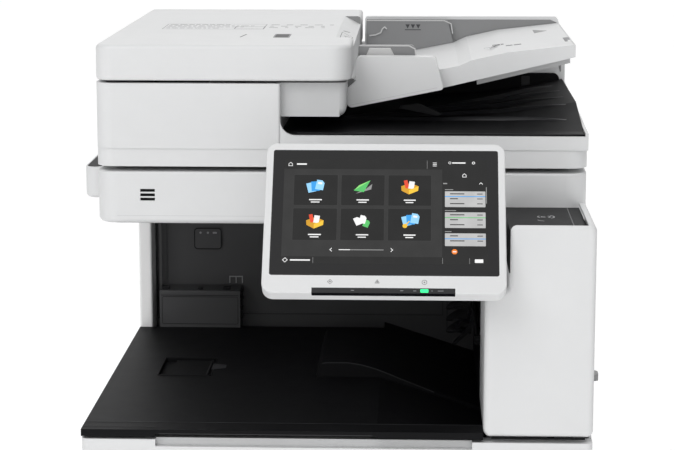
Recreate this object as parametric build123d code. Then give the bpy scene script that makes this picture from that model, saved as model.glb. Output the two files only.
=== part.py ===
from build123d import *
import os

# Office copier with a document feeder, a tilting touch panel and two paper cassettes.
# Millimetres. X runs to the right, -Y towards the user, Z up.
# The origin is on the floor, under the middle of the whole machine.

os.makedirs("parts", exist_ok=True)

# ---------------------------------------------------------------- overall sizes
body_width = 565.0  # casings, cassettes, scanner and feeder
body_depth = 690.0  # front door plane to the back cover
panel_reach = 54.0  # lowest edge of the tilted panel, in front of the door plane
hinge_reach = 7.0  # feeder hinges, behind the back cover

# ---------------------------------------------------------------- heights, from the floor up
foot_height = 22.0
base_height = 18.0
cassette_height = 108.0
door_height = 212.0
tray_lip = 8.0
cavity_height = 205.2
scanner_height = 60.8
feeder_gap = 6.0
feeder_height = 96.0
cover_gap = 3.0
cover_height = 41.0

# ---------------------------------------------------------------- walls and clearances
panel_gap = 3.0  # seen between fronts, doors and covers
skin = 3.0  # outer covers
front_thickness = 22.0  # cassette fronts and front door
sheet_steel = 2.0
slide_clearance = 0.3
pin_clearance = 0.2
wall_room = 1.5  # behind a front, before the side covers start

# ---------------------------------------------------------------- scanner, column and output tray
scanner_setback = 146.5  # scanner front, behind the door plane
column_width = 120.5
column_waist = 26.0  # how far the column's upper half is cut back on its left
column_over_scanner = 27.8  # column top, above the scanner's underside
output_depth = 552.0  # door plane to the cavity's back wall
exit_block_width = 117.5
pillar_width = 17.0
shelf_width = 21.5
glass_thickness = 4.0
platen_length = 432.0
platen_depth = 300.0
reading_width = 24.0

# ---------------------------------------------------------------- control panel
panel_width = 261.5
panel_height = 182.0
panel_thickness = 22.0
bezel_thickness = 7.0
screen_width = 246.0
screen_height = 152.6
screen_thickness = 2.5
panel_column_gap = 4.25
panel_pin_radius = 4.0
knuckle_radius = 9.0

# ---------------------------------------------------------------- document feeder
feed_unit_width = 213.0  # closed left part of the feeder
cover_width = 293.5
rear_unit_depth = 125.0
low_wall = 15.7  # feeder front, beside the document output
feeder_wall = 3.5
hinge_radius = 5.5
hinge_pin_radius = 2.5
guide_thickness = 4.0

# ---------------------------------------------------------------- worked-out places
half_width = body_width / 2
front_y = panel_reach - (panel_reach + body_depth + hinge_reach) / 2
back_y = front_y + body_depth
base_z = foot_height
base_top = base_z + base_height
lower_cassette_z = base_top + panel_gap
upper_cassette_z = lower_cassette_z + cassette_height + panel_gap
door_z = upper_cassette_z + cassette_height + panel_gap
door_top = door_z + door_height
tray_bottom = door_top + panel_gap
tray_z = tray_bottom + tray_lip
scanner_z = tray_z + cavity_height
scanner_top = scanner_z + scanner_height
feeder_z = scanner_top + feeder_gap
feeder_top = feeder_z + feeder_height
cover_z = feeder_top + cover_gap
cover_top = cover_z + cover_height
scanner_y = front_y + scanner_setback
cavity_y = front_y + output_depth
column_x = half_width - column_width
exit_x = half_width - exit_block_width
panel_centre_x = column_x + column_waist - panel_column_gap - panel_width / 2
grip_left = 82.5 - half_width  # finger recess over the front door


# ---------------------------------------------------------------- shape helpers
def block(x0, x1, y0, y1, z0, z1):
    """Plain block between two corners."""
    size = Box(x1 - x0, y1 - y0, z1 - z0)
    return Pos((x0 + x1) / 2, (y0 + y1) / 2, (z0 + z1) / 2) * size


def prism_y(outline, y0, y1):
    """Outline in X and Z, run along Y."""
    corners = [Vector(x, y0, z) for x, z in outline]
    face = Face(Wire.make_polygon(corners, close=True))
    return extrude(face, amount=y1 - y0, dir=(0, 1, 0))


def prism_x(outline, x0, x1):
    """Outline in Y and Z, run along X."""
    corners = [Vector(x0, y, z) for y, z in outline]
    face = Face(Wire.make_polygon(corners, close=True))
    return extrude(face, amount=x1 - x0, dir=(1, 0, 0))


def rod_x(x0, x1, y, z, radius):
    return Pos((x0 + x1) / 2, y, z) * Rot(0, 90, 0) * Cylinder(radius, x1 - x0)


def rod_y(y0, y1, x, z, radius):
    return Pos(x, (y0 + y1) / 2, z) * Rot(90, 0, 0) * Cylinder(radius, y1 - y0)


def rod_z(z0, z1, x, y, radius):
    return Pos(x, y, (z0 + z1) / 2) * Cylinder(radius, z1 - z0)


def edges_along(shape, axis, near):
    """Straight edges along an axis whose middle meets a test on its position."""
    return [e for e in shape.edges().filter_by(axis) if near(e.center())]


def rounded(shape, axis, radius, near=lambda centre: True):
    return fillet(edges_along(shape, axis, near), radius)


def write(name, *pieces):
    """One file for each node; a node of several pieces is a group of solids."""
    solids = [solid for piece in pieces for solid in piece.solids()]
    shape = solids[0] if len(solids) == 1 else Compound(children=solids)
    shape.label = name
    export_step(shape, "parts/" + name + ".step")


def deep(depth):
    """Y of a place that lies so far behind the door plane."""
    return front_y + depth


# ---------------------------------------------------------------- base, feet and steel frame
foot_radius = 20.0
foot_x = half_width - 45.0
frame_inset = 6.5  # side cover's outside to the frame plate
frame_front = 30.0
frame_back = 655.0
paper_way = 28.0  # between the right frame plate and the right covers
frame_left = -half_width + frame_inset
frame_right = half_width - skin - paper_way - sheet_steel
deck_z = door_z - sheet_steel
cover_front = front_thickness + wall_room
rail_width = 20.0
rail_height = 4.0
cassette_left = frame_left + sheet_steel + 12.0
cassette_right = frame_right - 12.0
cassette_depth = 600.0
door_edge_radius = 6.0
door_pin_radius = 2.5
door_pin_length = 40.0
door_lug_width = 12.0
door_lug_x = half_width - 40.0
door_axis_y = front_y + door_edge_radius
door_axis_z = door_z + door_edge_radius


def make_base():
    plate = block(-half_width, half_width, deep(panel_gap), back_y - skin, base_z, base_top)
    write("base_plate", rounded(plate, Axis.Z, 12.0))
    places = [(x, y) for x in (-foot_x, foot_x) for y in (deep(60.0), back_y - 60.0)]
    feet = [chamfer(rod_z(0, base_z, x, y, foot_radius).edges().group_by(Axis.Z)[0], 3.0) for x, y in places]
    write("feet", *feet)


def door_lug(x):
    """Lug on the deck that carries one pin of the front door."""
    half = door_lug_width / 2
    eye = door_edge_radius - 0.5
    arm = block(x - half, x + half, door_axis_y, deep(60.0), door_z, door_axis_z + eye)
    lug = arm + rod_x(x - half, x + half, door_axis_y, door_axis_z, eye)
    return lug - rod_x(x - half - 1, x + half + 1, door_axis_y, door_axis_z, door_pin_radius)


def cassette_rails(z):
    """Two ledges that one cassette slides on."""
    top = z + rail_height - slide_clearance
    left = block(frame_left + sheet_steel, cassette_left + rail_width, deep(60.0), deep(640.0), z, top)
    right = block(cassette_right - rail_width, frame_right, deep(60.0), deep(640.0), z, top)
    return [left, right]


def make_frame():
    y0 = deep(frame_front)
    y1 = deep(frame_back)
    inner_left = frame_left + sheet_steel
    left = block(frame_left, inner_left, y0, y1, base_top, tray_bottom)
    right = block(frame_right, frame_right + sheet_steel, y0, y1, base_top, deck_z)
    deck = block(inner_left, half_width - skin - 2.5, y0, y1, deck_z, door_z)
    rear = block(frame_left, half_width - frame_inset, y1, y1 + sheet_steel, base_top, scanner_z)
    lugs = [door_lug(x) for x in (-door_lug_x, door_lug_x)]
    rails = cassette_rails(lower_cassette_z) + cassette_rails(upper_cassette_z)
    rail_end = half_width - scanner_wall
    rail = rod_x(-rail_end, rail_end, deep(rail_depth), scanner_z + 19, rail_radius)
    plates = engine_plates() + side_door_brackets()
    write("steel_frame", left, right, deck, rear, rail, *lugs, *rails, *plates)


def make_covers():
    y0 = deep(cover_front)
    y1 = back_y - skin
    inside = half_width - skin
    left = block(-half_width, -inside, y0, y1, base_top, tray_bottom)
    low = block(inside, half_width, y0, y1, base_top, door_z)
    under_column = block(inside, half_width, y0, deep(side_door_front - panel_gap), door_z, tray_bottom)
    switch_low = switch_z - switch_window
    switch_high = switch_z + switch_window
    under_column -= block(inside - 1, half_width + 1, switch_y - 9, switch_y + 9, switch_low, switch_high)
    behind = block(inside, half_width, deep(side_door_back + panel_gap), y1, door_z, scanner_z)
    above_y = deep(scanner_setback + panel_gap)
    above_z = side_door_top + panel_gap + 1
    above = block(inside, half_width, above_y, deep(side_door_back + panel_gap), above_z, scanner_z)
    write("side_covers", left, low, under_column, behind, above, switch_housing())
    back = block(-half_width, half_width, back_y - skin, back_y, base_top, scanner_z)
    for z in (330.0, 560.0):
        for row in range(8):
            slot_z = z + row * 9.0
            back -= block(-200.0, -90.0, back_y - skin - 1, back_y + 1, slot_z, slot_z + 4.0)
    for half, z, half_height in ((25.0, inlet_z, 14.0), (9.0, network_z, 8.0)):
        y0 = back_y - skin - 1
        back -= block(inlet_x - half, inlet_x + half, y0, back_y + 1, z - half_height, z + half_height)
    write("back_cover", back)


# ---------------------------------------------------------------- front door
def make_front_door():
    door = block(-half_width, half_width, front_y, deep(front_thickness), door_z, door_top)
    door = rounded(door, Axis.X, door_edge_radius, lambda c: c.Y < front_y + 1 and c.Z < door_z + 1)
    door = rounded(door, Axis.Z, 8.0, lambda c: c.Y < front_y + 1)
    hollow = half_width - 10
    door -= block(-hollow, hollow, deep(skin), deep(front_thickness) + 1, door_z + 26, door_top - 12)
    door -= block(grip_left, column_x - 12.0, front_y - 1, deep(9.0), door_top - 8, door_top + 1)
    pins = []
    for x in (-door_lug_x, door_lug_x):
        room = door_lug_width / 2 + 3
        door -= block(x - room, x + room, front_y - 1, deep(front_thickness) + 1, door_z - 1, door_axis_z + 8)
        half = door_pin_length / 2
        bore = door_pin_radius + pin_clearance
        door -= rod_x(x - half - 0.5, x + half + 0.5, door_axis_y, door_axis_z, bore)
        pins.append(rod_x(x - half, x + half, door_axis_y, door_axis_z, door_pin_radius))
    write("front_door", door)
    return pins


# ---------------------------------------------------------------- cassettes
cassette_wall = 2.5
cassette_side = 60.0
grip_width = 140.0
grip_height = 32.0
grip_depth = 16.0
lift_pin_radius = 1.8
lift_knuckle_radius = 3.0
lift_x = cassette_left + 10.0


def cassette_front(z):
    """Front panel with a finger grip near its top."""
    top = z + cassette_height
    front = block(-half_width, half_width, front_y, deep(front_thickness), z, top)
    front = rounded(front, Axis.Z, 8.0, lambda c: c.Y < front_y + 1)
    grip_top = top - 14.0
    half = grip_width / 2
    grip = block(-half, half, front_y - 1, deep(grip_depth), grip_top - grip_height, grip_top)
    return front - rounded(grip, Axis.Y, 6.0)


def cassette_box(z):
    """Floor and three walls behind the front, with two lugs for the lift plate."""
    y0 = deep(front_thickness)
    y1 = deep(cassette_depth)
    floor_z = z + rail_height
    wall_z = floor_z + cassette_wall
    top = floor_z + cassette_side
    floor = block(cassette_left, cassette_right, y0, y1, floor_z, wall_z)
    left = block(cassette_left, cassette_left + cassette_wall, y0, y1, wall_z, top)
    right = block(cassette_right - cassette_wall, cassette_right, y0, y1, wall_z, top)
    inner = (cassette_left + cassette_wall, cassette_right - cassette_wall)
    back = block(inner[0], inner[1], y1 - cassette_wall, y1, wall_z, top)
    bore = rod_y(y0, y1, lift_x, lift_axis_z(z), lift_pin_radius + pin_clearance)
    lug_top = lift_axis_z(z) + lift_knuckle_radius + 1
    lugs = []
    for y in (deep(50.0), deep(cassette_depth - 58.0)):
        lugs.append(block(lift_x - 5, lift_x + 5, y, y + 8, wall_z, lug_top) - bore)
    return [floor, left, right, back, *lugs]


def lift_axis_z(z):
    return z + rail_height + cassette_wall + lift_knuckle_radius + 0.7


def lift_plate(z):
    """Hinged plate that pushes the paper up at its right end."""
    axis_z = lift_axis_z(z)
    y0 = deep(58.0 + slide_clearance)
    y1 = deep(cassette_depth - 58.0 - slide_clearance)
    plate = block(lift_x, cassette_right - 15.0, y0, y1, axis_z - 1, axis_z + 1)
    plate += rod_y(y0, y1, lift_x, axis_z, lift_knuckle_radius)
    return plate + rod_y(deep(50.0), deep(cassette_depth - 50.0), lift_x, axis_z, lift_pin_radius)


def make_cassettes():
    for name, z in (("lower", lower_cassette_z), ("upper", upper_cassette_z)):
        write(name + "_cassette_front", cassette_front(z))
        write(name + "_cassette_box", *cassette_box(z))
        write(name + "_lift_plate", lift_plate(z))


# ---------------------------------------------------------------- right door and bypass tray
side_door_front = 150.0
side_door_back = 600.0
side_door_bottom = door_z + panel_gap
side_door_top = tray_bottom + 40.0
side_door_thickness = 12.0
bypass_front = 240.0
bypass_back = 550.0
bypass_travel = 45.0  # free height above the tray, for its extension
bypass_bottom = side_door_bottom + 34.0
bypass_height = 150.0
bypass_thickness = 7.0
bypass_radius = bypass_thickness / 2
lever_width = 22.0
lever_reach = 21.0
lever_radius = 6.0
lever_pin_radius = 2.5
lever_middle = 200.0
lever_z = side_door_top - 16.0
side_axis_x = half_width - side_door_thickness / 2
side_axis_y = deep(side_door_back - side_door_thickness / 2)
bypass_axis_x = half_width - bypass_radius
bypass_axis_z = bypass_bottom + bypass_radius
lever_axis_x = half_width - side_door_thickness / 2
side_pin_radius = 2.0


def side_door_pins():
    """Upright pins at the door's rear edge, held by two brackets."""
    low = rod_z(door_z, side_door_bottom + 8, side_axis_x, side_axis_y, side_pin_radius)
    high = rod_z(side_door_top - 8, side_door_top + 3.5, side_axis_x, side_axis_y, side_pin_radius)
    return [low, high]


def side_door_brackets():
    brackets = []
    for z0, z1 in ((door_z, side_door_bottom - 0.5), (side_door_top + 0.5, side_door_top + 3.5)):
        bracket = block(side_axis_x - 20, side_axis_x + 5.5, side_axis_y - 6, deep(engine_back), z0, z1)
        brackets.append(bracket - rod_z(z0 - 1, z1 + 1, side_axis_x, side_axis_y, side_pin_radius))
    return brackets


def make_side_door():
    inside = half_width - side_door_thickness
    y0 = deep(side_door_front)
    y1 = deep(side_door_back)
    door = block(inside, half_width, y0, y1, side_door_bottom, side_door_top)
    door = rounded(door, Axis.Z, side_door_thickness / 2 - 0.01, lambda c: c.Y > y1 - 1)
    pocket_y0 = deep(bypass_front - slide_clearance)
    pocket_y1 = deep(bypass_back + slide_clearance)
    pocket_top = bypass_bottom + bypass_height + bypass_travel + 1.0
    pocket_x = half_width - bypass_thickness - 0.5
    door -= block(pocket_x, half_width + 1, pocket_y0, pocket_y1, bypass_bottom - 0.5, pocket_top)
    notch = lever_width / 2 + 1
    middle = deep(lever_middle)
    door -= block(inside - 1, half_width + 1, middle - notch, middle + notch, lever_z - 14, lever_z + 12)
    bore = lever_pin_radius + pin_clearance
    door -= rod_y(middle - notch - 10, middle + notch + 10, lever_axis_x, lever_z, bore)
    pin_z = bypass_axis_z
    door -= rod_y(pocket_y0 - 8, pocket_y1 + 8, bypass_axis_x, pin_z, 1.5 + pin_clearance)
    for z in (side_door_bottom, side_door_top):
        door -= rod_z(z - 9, z + 9, side_axis_x, side_axis_y, side_pin_radius + pin_clearance)
    write("right_door", door)
    lever_tip = half_width + lever_reach
    lever = block(lever_axis_x, lever_tip, middle - notch + 1, middle + notch - 1, lever_z - 4, lever_z + 4)
    lever = rounded(lever, Axis.Z, 6.0, lambda c: c.X > half_width)
    lever += rod_y(middle - notch + 1, middle + notch - 1, lever_axis_x, lever_z, lever_radius - 0.8)
    lever += rod_y(middle - notch - 9, middle + notch + 9, lever_axis_x, lever_z, lever_pin_radius)
    write("release_lever", lever)


def make_bypass():
    """Fold-down sheet tray in the right door, and the piece that slides out of it."""
    y0 = deep(bypass_front)
    y1 = deep(bypass_back)
    x0 = half_width - bypass_thickness
    top = bypass_bottom + bypass_height
    tray = block(x0, half_width, y0, y1, bypass_bottom, top)
    tray = rounded(tray, Axis.Y, bypass_radius - 0.01, lambda c: c.Z < bypass_bottom + 1)
    slot_y0 = deep(bypass_front + 50.0)
    slot_y1 = deep(bypass_back - 50.0)
    slot = block(x0 + 2.0, half_width - 2.0, slot_y0, slot_y1, bypass_bottom + 25.0, top + 1)
    tray -= slot
    tray += rod_y(y0 - 7, y1 + 7, bypass_axis_x, bypass_axis_z, 1.5)
    write("bypass_tray", tray)
    room = slide_clearance
    slide_x = (x0 + 2 + room, half_width - 2 - room)
    slide = block(*slide_x, slot_y0 + room, slot_y1 - room, bypass_bottom + 30.0, top - 0.5)
    write("bypass_extension", slide)


# ---------------------------------------------------------------- output tray, cavity and exit unit
tray_front_bevel = 31.0
recess_left = 56.5 - half_width
recess_right = 119.5 - half_width
recess_front = 245.0
recess_back = 333.0
recess_depth = 3.0
hump_front = 245.0
hump_back = 420.0
hump_top = 18.0
slope_start = column_x - 117.3
slope_drop = 39.0
slope_back = 510.0
exit_wall = 4.0
stopper_knuckle = 2.0


def hump_body(low_z):
    """Wide hump that is high at its left and dies away down the slope."""
    y0 = deep(hump_front)
    high = tray_z + hump_top
    foot = slope_start - 78.7
    brow = (foot + 5.0, y0, high)
    knee = (slope_start + 24.3, y0, high - 19.4)
    toe = (exit_x, y0, low_z + 3.5)
    fall = (toe[0] - knee[0], 0, toe[2] - knee[2])
    flat_end = (foot + 39.0, y0, high)
    bend = (foot + 74.0, y0, high - 8.0)
    top = Spline(brow, flat_end, bend, knee, tangents=[(1, 0, 0), fall])
    side = Line((foot, y0, tray_z), brow)
    rest = Polyline(knee, toe, (exit_x, y0, low_z), (slope_start, y0, tray_z), (foot, y0, tray_z))
    face = Face(Wire([side, top, *rest.edges()]))
    hump = extrude(face, amount=deep(hump_back) - y0, dir=(0, 1, 0))
    return rounded(hump, Axis.Y, 4.0, lambda c: c.X < foot + 6 and c.Z > high - 1)


def make_output_tray():
    """Flat sheet rest that falls away to the right, with a wide hump across its middle."""
    low_z = tray_z - slope_drop
    y0 = front_y
    lip_back = deep(12.0)
    flat = block(-half_width, slope_start, lip_back, deep(slope_back), tray_bottom, tray_z)
    lip = block(-half_width, grip_left, y0, lip_back, tray_bottom, tray_z)
    lip_over_grip = block(grip_left, slope_start, y0, lip_back, tray_bottom + 3, tray_z)
    front_strip = block(slope_start, column_x, y0, deep(tray_front_bevel), tray_bottom, tray_z)
    cavity_x = -half_width + pillar_width
    trench = block(cavity_x, slope_start, deep(slope_back), cavity_y, tray_bottom - 5, tray_bottom)
    outline = [(slope_start, tray_z), (exit_x, low_z), (exit_x, low_z - 8), (slope_start, tray_bottom)]
    slope = prism_y(outline, deep(tray_front_bevel), cavity_y)
    hump = hump_body(low_z)
    recess_z = tray_z - recess_depth - 1.5
    flat -= block(recess_left, recess_right, deep(recess_front), deep(recess_back), recess_z, tray_z + 1)
    write("output_tray", flat, lip, lip_over_grip, front_strip, slope, trench, hump - slope)


def make_stopper():
    """Flap in the tray's recess that stands up to catch the sheets."""
    y0 = deep(recess_front + 6.0)
    y1 = deep(recess_back - 6.0)
    z = tray_z - stopper_knuckle - 0.3
    flap = block(recess_left + 14.0, recess_right - 4.0, y0, y1, z - 1.2, z + 1.2)
    flap += rod_y(y0, y1, recess_right - 4.0, z, stopper_knuckle)
    write("paper_stopper", flap)


def make_cavity():
    wall = block(-half_width + pillar_width, exit_x, cavity_y, cavity_y + skin, tray_z, scanner_z)
    low_z = tray_z - slope_drop
    low = block(-half_width + pillar_width, exit_x, cavity_y, cavity_y + skin, low_z - 8, tray_z)
    ledge_x = 26.5 - half_width
    ledge = block(ledge_x, ledge_x + 108, deep(slope_back + 1), cavity_y, tray_bottom, tray_z + 50.0)
    ledge = rounded(ledge, Axis.X, 3.0, lambda c: c.Y < deep(slope_back + 2) and c.Z > tray_z + 1)
    pillar_x = -half_width + pillar_width
    pillar = block(-half_width, pillar_x, deep(slope_back), deep(frame_back), tray_bottom, scanner_z)
    write("rear_pillar", rounded(pillar, Axis.Z, 3.0, lambda c: c.Y < deep(slope_back + 1)))
    knockout_x = 70.5 - half_width
    knockout = block(knockout_x, knockout_x + 36, cavity_y - 2.0, cavity_y, tray_z + 99, tray_z + 127)
    write("cavity_back_wall", wall, low, ledge, rounded(knockout, Axis.Y, 4.0))


# ---------------------------------------------------------------- column at the right front
column_z = tray_bottom + 3.3
column_top = scanner_z + column_over_scanner
column_rim = 9.5
column_step = 6.0  # black top, below the rim
column_bend_low = column_top - 84.0
column_bend_high = column_top - 66.0
column_wall = 3.0


def column_body(inset, y0, y1):
    """Wide foot, waist cut back on the left by a soft bend, straight right side."""
    left = column_x + inset
    waist = column_x + column_waist + inset
    right = half_width - inset
    low = column_z + inset
    high = column_top - inset
    bend = [(left, y0, column_bend_low), (waist, y0, column_bend_high)]
    side = Spline(*bend, tangents=[(0, 0, 1), (0, 0, 1)])
    foot = Line((left, y0, low), bend[0])
    rest = Polyline(bend[1], (waist, y0, high), (right, y0, high), (right, y0, low), (left, y0, low))
    face = Face(Wire([foot, side, *rest.edges()]))
    body = extrude(face, amount=y1 - y0, dir=(0, 1, 0))
    return rounded(body, Axis.Y, 8.0 if inset == 0 else 5.0, lambda c: c.Z < low + 1 or c.Z > high - 1)


def make_column():
    outer = column_body(0, front_y, deep(scanner_setback))
    inner = column_body(column_wall, front_y + column_wall, deep(scanner_setback) + 1)
    x0 = column_x + column_waist - 1
    x1 = half_width - column_rim
    y0 = deep(2.5)
    y1 = deep(scanner_setback)
    top_z = column_top - column_step
    pocket = block(x0, x1, y0, y1 + 1, top_z, column_top + 1)
    side = block(x0, x0 + 3.5, y0, y1 + 1, column_bend_high + 12.0, column_top + 1)
    plate = block(x0 + 1, x1, y0, y1, top_z - 2.5, top_z)
    cheek = block(x0 + 1, x0 + 3.5, y0, y1, column_bend_high + 12.0, top_z - 2.5)
    front_round = rounded(outer, Axis.Z, 6.0, lambda c: c.Y < front_y + 1)
    shell = front_round - inner - pocket - side - plate - cheek
    write("column_cover", shell)
    write("column_top", plate + cheek)


# ---------------------------------------------------------------- exit unit with its fingers
exit_front = scanner_setback + 4.0
finger_y = (330.0, 400.0, 470.0)
finger_axis_z = tray_z + 64.0
finger_width = 12.0
finger_pin_radius = 2.0


def make_exit_unit():
    """Wall at the right of the cavity, with the slit that the sheets come out of."""
    low_z = tray_z - slope_drop
    wall = block(exit_x, exit_x + exit_wall, deep(exit_front), cavity_y, low_z - 8, scanner_z)
    wall -= block(exit_x - 1, exit_x + exit_wall + 1, deep(190.0), deep(520.0), tray_z + 7, tray_z + 57)
    front_end = half_width - side_door_thickness - 2
    front = block(exit_x + exit_wall, front_end, deep(exit_front), deep(exit_front + 3), tray_z, scanner_z)
    fingers = rod_y(deep(175.0), deep(535.0), exit_x - 5.0, finger_axis_z, finger_pin_radius)
    hook = [(-7, 2), (-3, 2), (-8, -24), (-30, -44), (-31, -41), (-12, -21)]
    outline = [(exit_x + x, finger_axis_z + z) for x, z in hook]
    for y in finger_y:
        fingers += prism_y(outline, deep(y), deep(y + finger_width))
    write("exit_fingers", fingers)
    lugs = []
    for y in (174.0, 530.5):
        lug = block(exit_x - 9, exit_x, deep(y), deep(y + 5.5), finger_axis_z - 5, finger_axis_z + 5)
        lug -= rod_y(deep(y - 1), deep(y + 7), exit_x - 5.0, finger_axis_z, finger_pin_radius + pin_clearance)
        lugs.append(lug)
    write("exit_wall", wall, front, *lugs)


# ---------------------------------------------------------------- print engine
engine_front = 160.0
engine_back = 600.0
shaft_radius = 4.0
drum_x = half_width - 70.5
drum_z = door_z + 80.0
drum_radius = 20.0
transfer_radius = 8.0
heat_x = half_width - 64.5
heat_z = door_z + 175.0
heat_radius = 16.0
pressure_radius = 12.0
nip = 0.4
toner_x = 55.0
toner_z = door_z + 135.0
toner_radius = 32.0
laser_height = 55.0
turning = {
    "photo_drum": (drum_x, drum_z, drum_radius),
    "transfer_roller": (drum_x + drum_radius + transfer_radius + nip, drum_z, transfer_radius),
    "heat_roller": (heat_x, heat_z, heat_radius),
    "pressure_roller": (heat_x + heat_radius + pressure_radius + nip, heat_z, pressure_radius),
}


def engine_plates():
    """Two upright plates that carry the turning parts."""
    x0 = exit_x + 10.0
    x1 = half_width - side_door_thickness - 4.0
    plates = []
    for depth in (engine_front, engine_back):
        plate = block(x0, x1, deep(depth), deep(depth + 3), door_z, scanner_z)
        for x, z, _ in turning.values():
            plate -= rod_y(deep(depth) - 1, deep(depth + 4), x, z, shaft_radius + pin_clearance)
        plates.append(plate)
    return plates


def make_engine():
    """Turning parts of the printer, and the fixed units beside them."""
    for name, (x, z, radius) in turning.items():
        y0 = deep(engine_front + 3 + slide_clearance)
        y1 = deep(engine_back - slide_clearance)
        roller = rod_y(y0, y1, x, z, radius)
        roller += rod_y(deep(engine_front - 6), deep(engine_back + 9), x, z, shaft_radius)
        write(name, roller)
    developer_top = door_z + 120
    developer = block(exit_x - 60, exit_x + 14, deep(175), deep(585), door_z, developer_top)
    developer = rounded(developer, Axis.Y, 8.0, lambda c: c.Z > developer_top - 5)
    bottle = rod_y(deep(60), deep(560), toner_x, toner_z, toner_radius)
    bottle += rod_y(deep(52), deep(60), toner_x, toner_z, toner_radius - 12)
    cradle_x = (toner_x - 30, toner_x + 30)
    cradle_z = toner_z - toner_radius - 30
    cradle = block(*cradle_x, deep(80), deep(540), cradle_z, toner_z - 10)
    cradle -= rod_y(deep(50), deep(570), toner_x, toner_z, toner_radius + slide_clearance)
    for y in (80, 528):
        cradle += block(*cradle_x, deep(y), deep(y + 12), door_z + laser_height, cradle_z)
    write("toner_bottle", bottle)
    laser = block(52.5 - half_width, 95.0, deep(110), deep(560), door_z, door_z + laser_height)
    write("laser_unit", rounded(laser, Axis.Z, 10.0))
    write("developer_unit", developer, cradle)


inlet_x = 57.5 - half_width
inlet_z = base_top + 80.0
network_z = base_top + 150.0
switch_y = deep(90.0)
switch_z = door_top - 32.0
switch_window = 12.0


def switch_housing():
    """Cup on the inside of the right cover, for the mains rocker."""
    x1 = half_width - skin
    half = switch_window
    cup = block(x1 - 9, x1, switch_y - 12, switch_y + 12, switch_z - half - 3, switch_z + half + 3)
    cup -= block(x1 - 7, x1 + 1, switch_y - 9, switch_y + 9, switch_z - half, switch_z + half)
    return cup - rod_y(switch_y - 13, switch_y + 13, x1 - 3.5, switch_z, 1.4)


def make_electrics():
    y1 = deep(frame_back + sheet_steel)
    supply = block(60.0, 250.0, y1, y1 + 26, 90.0, 230.0)
    board = block(-220.0, 110.0, y1 + 8, y1 + 10, 300.0, 470.0)
    posts = [rod_y(y1, y1 + 8, x, z, 3.0) for x in (-210.0, 100.0) for z in (310.0, 460.0)]
    for post in posts:
        board += post
    for x, z, w, h in ((-150, 400, 40, 40), (-60, 350, 30, 30), (20, 420, 60, 16)):
        board += block(x, x + w, y1 + 10, y1 + 14, z, z + h)
    write("main_electronics", supply, board)
    inlet = block(inlet_x - 25, inlet_x + 25, y1, back_y, inlet_z - 14, inlet_z + 14)
    inlet -= block(inlet_x - 12, inlet_x + 12, back_y - 18, back_y + 1, inlet_z - 8.5, inlet_z + 8.5)
    for x in (-6, 0, 6):
        inlet += block(inlet_x + x - 1, inlet_x + x + 1, back_y - 18.5, back_y - 3, inlet_z - 3, inlet_z + 3)
    port = block(inlet_x - 9, inlet_x + 9, y1, back_y, network_z - 8, network_z + 8)
    port -= block(inlet_x - 6, inlet_x + 6, back_y - 12, back_y + 1, network_z - 4.5, network_z + 4.5)
    write("rear_sockets", inlet, port)
    rocker_x = half_width - skin - 5
    rocker = block(rocker_x, half_width - 1.5, switch_y - 8, switch_y + 8, switch_z - 9, switch_z + 9)
    rocker = rounded(rocker, Axis.Y, 2.0, lambda c: c.X > half_width - 2)
    rocker += rod_y(switch_y - 11, switch_y + 11, half_width - skin - 3.5, switch_z, 1.2)
    write("power_switch", rocker)


# ---------------------------------------------------------------- scanner
scanner_wall = 20.5
scanner_corner = 25.0
scanner_floor = 3.8
platen_left = 76.5 - half_width
reading_left = 36.5 - half_width
glass_front = 262.0
carriage_length = 345.0
carriage_width = 30.0
rail_radius = 4.0
rail_depth = 606.0
shelf_front = 200.0
shelf_back = 600.0


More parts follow.
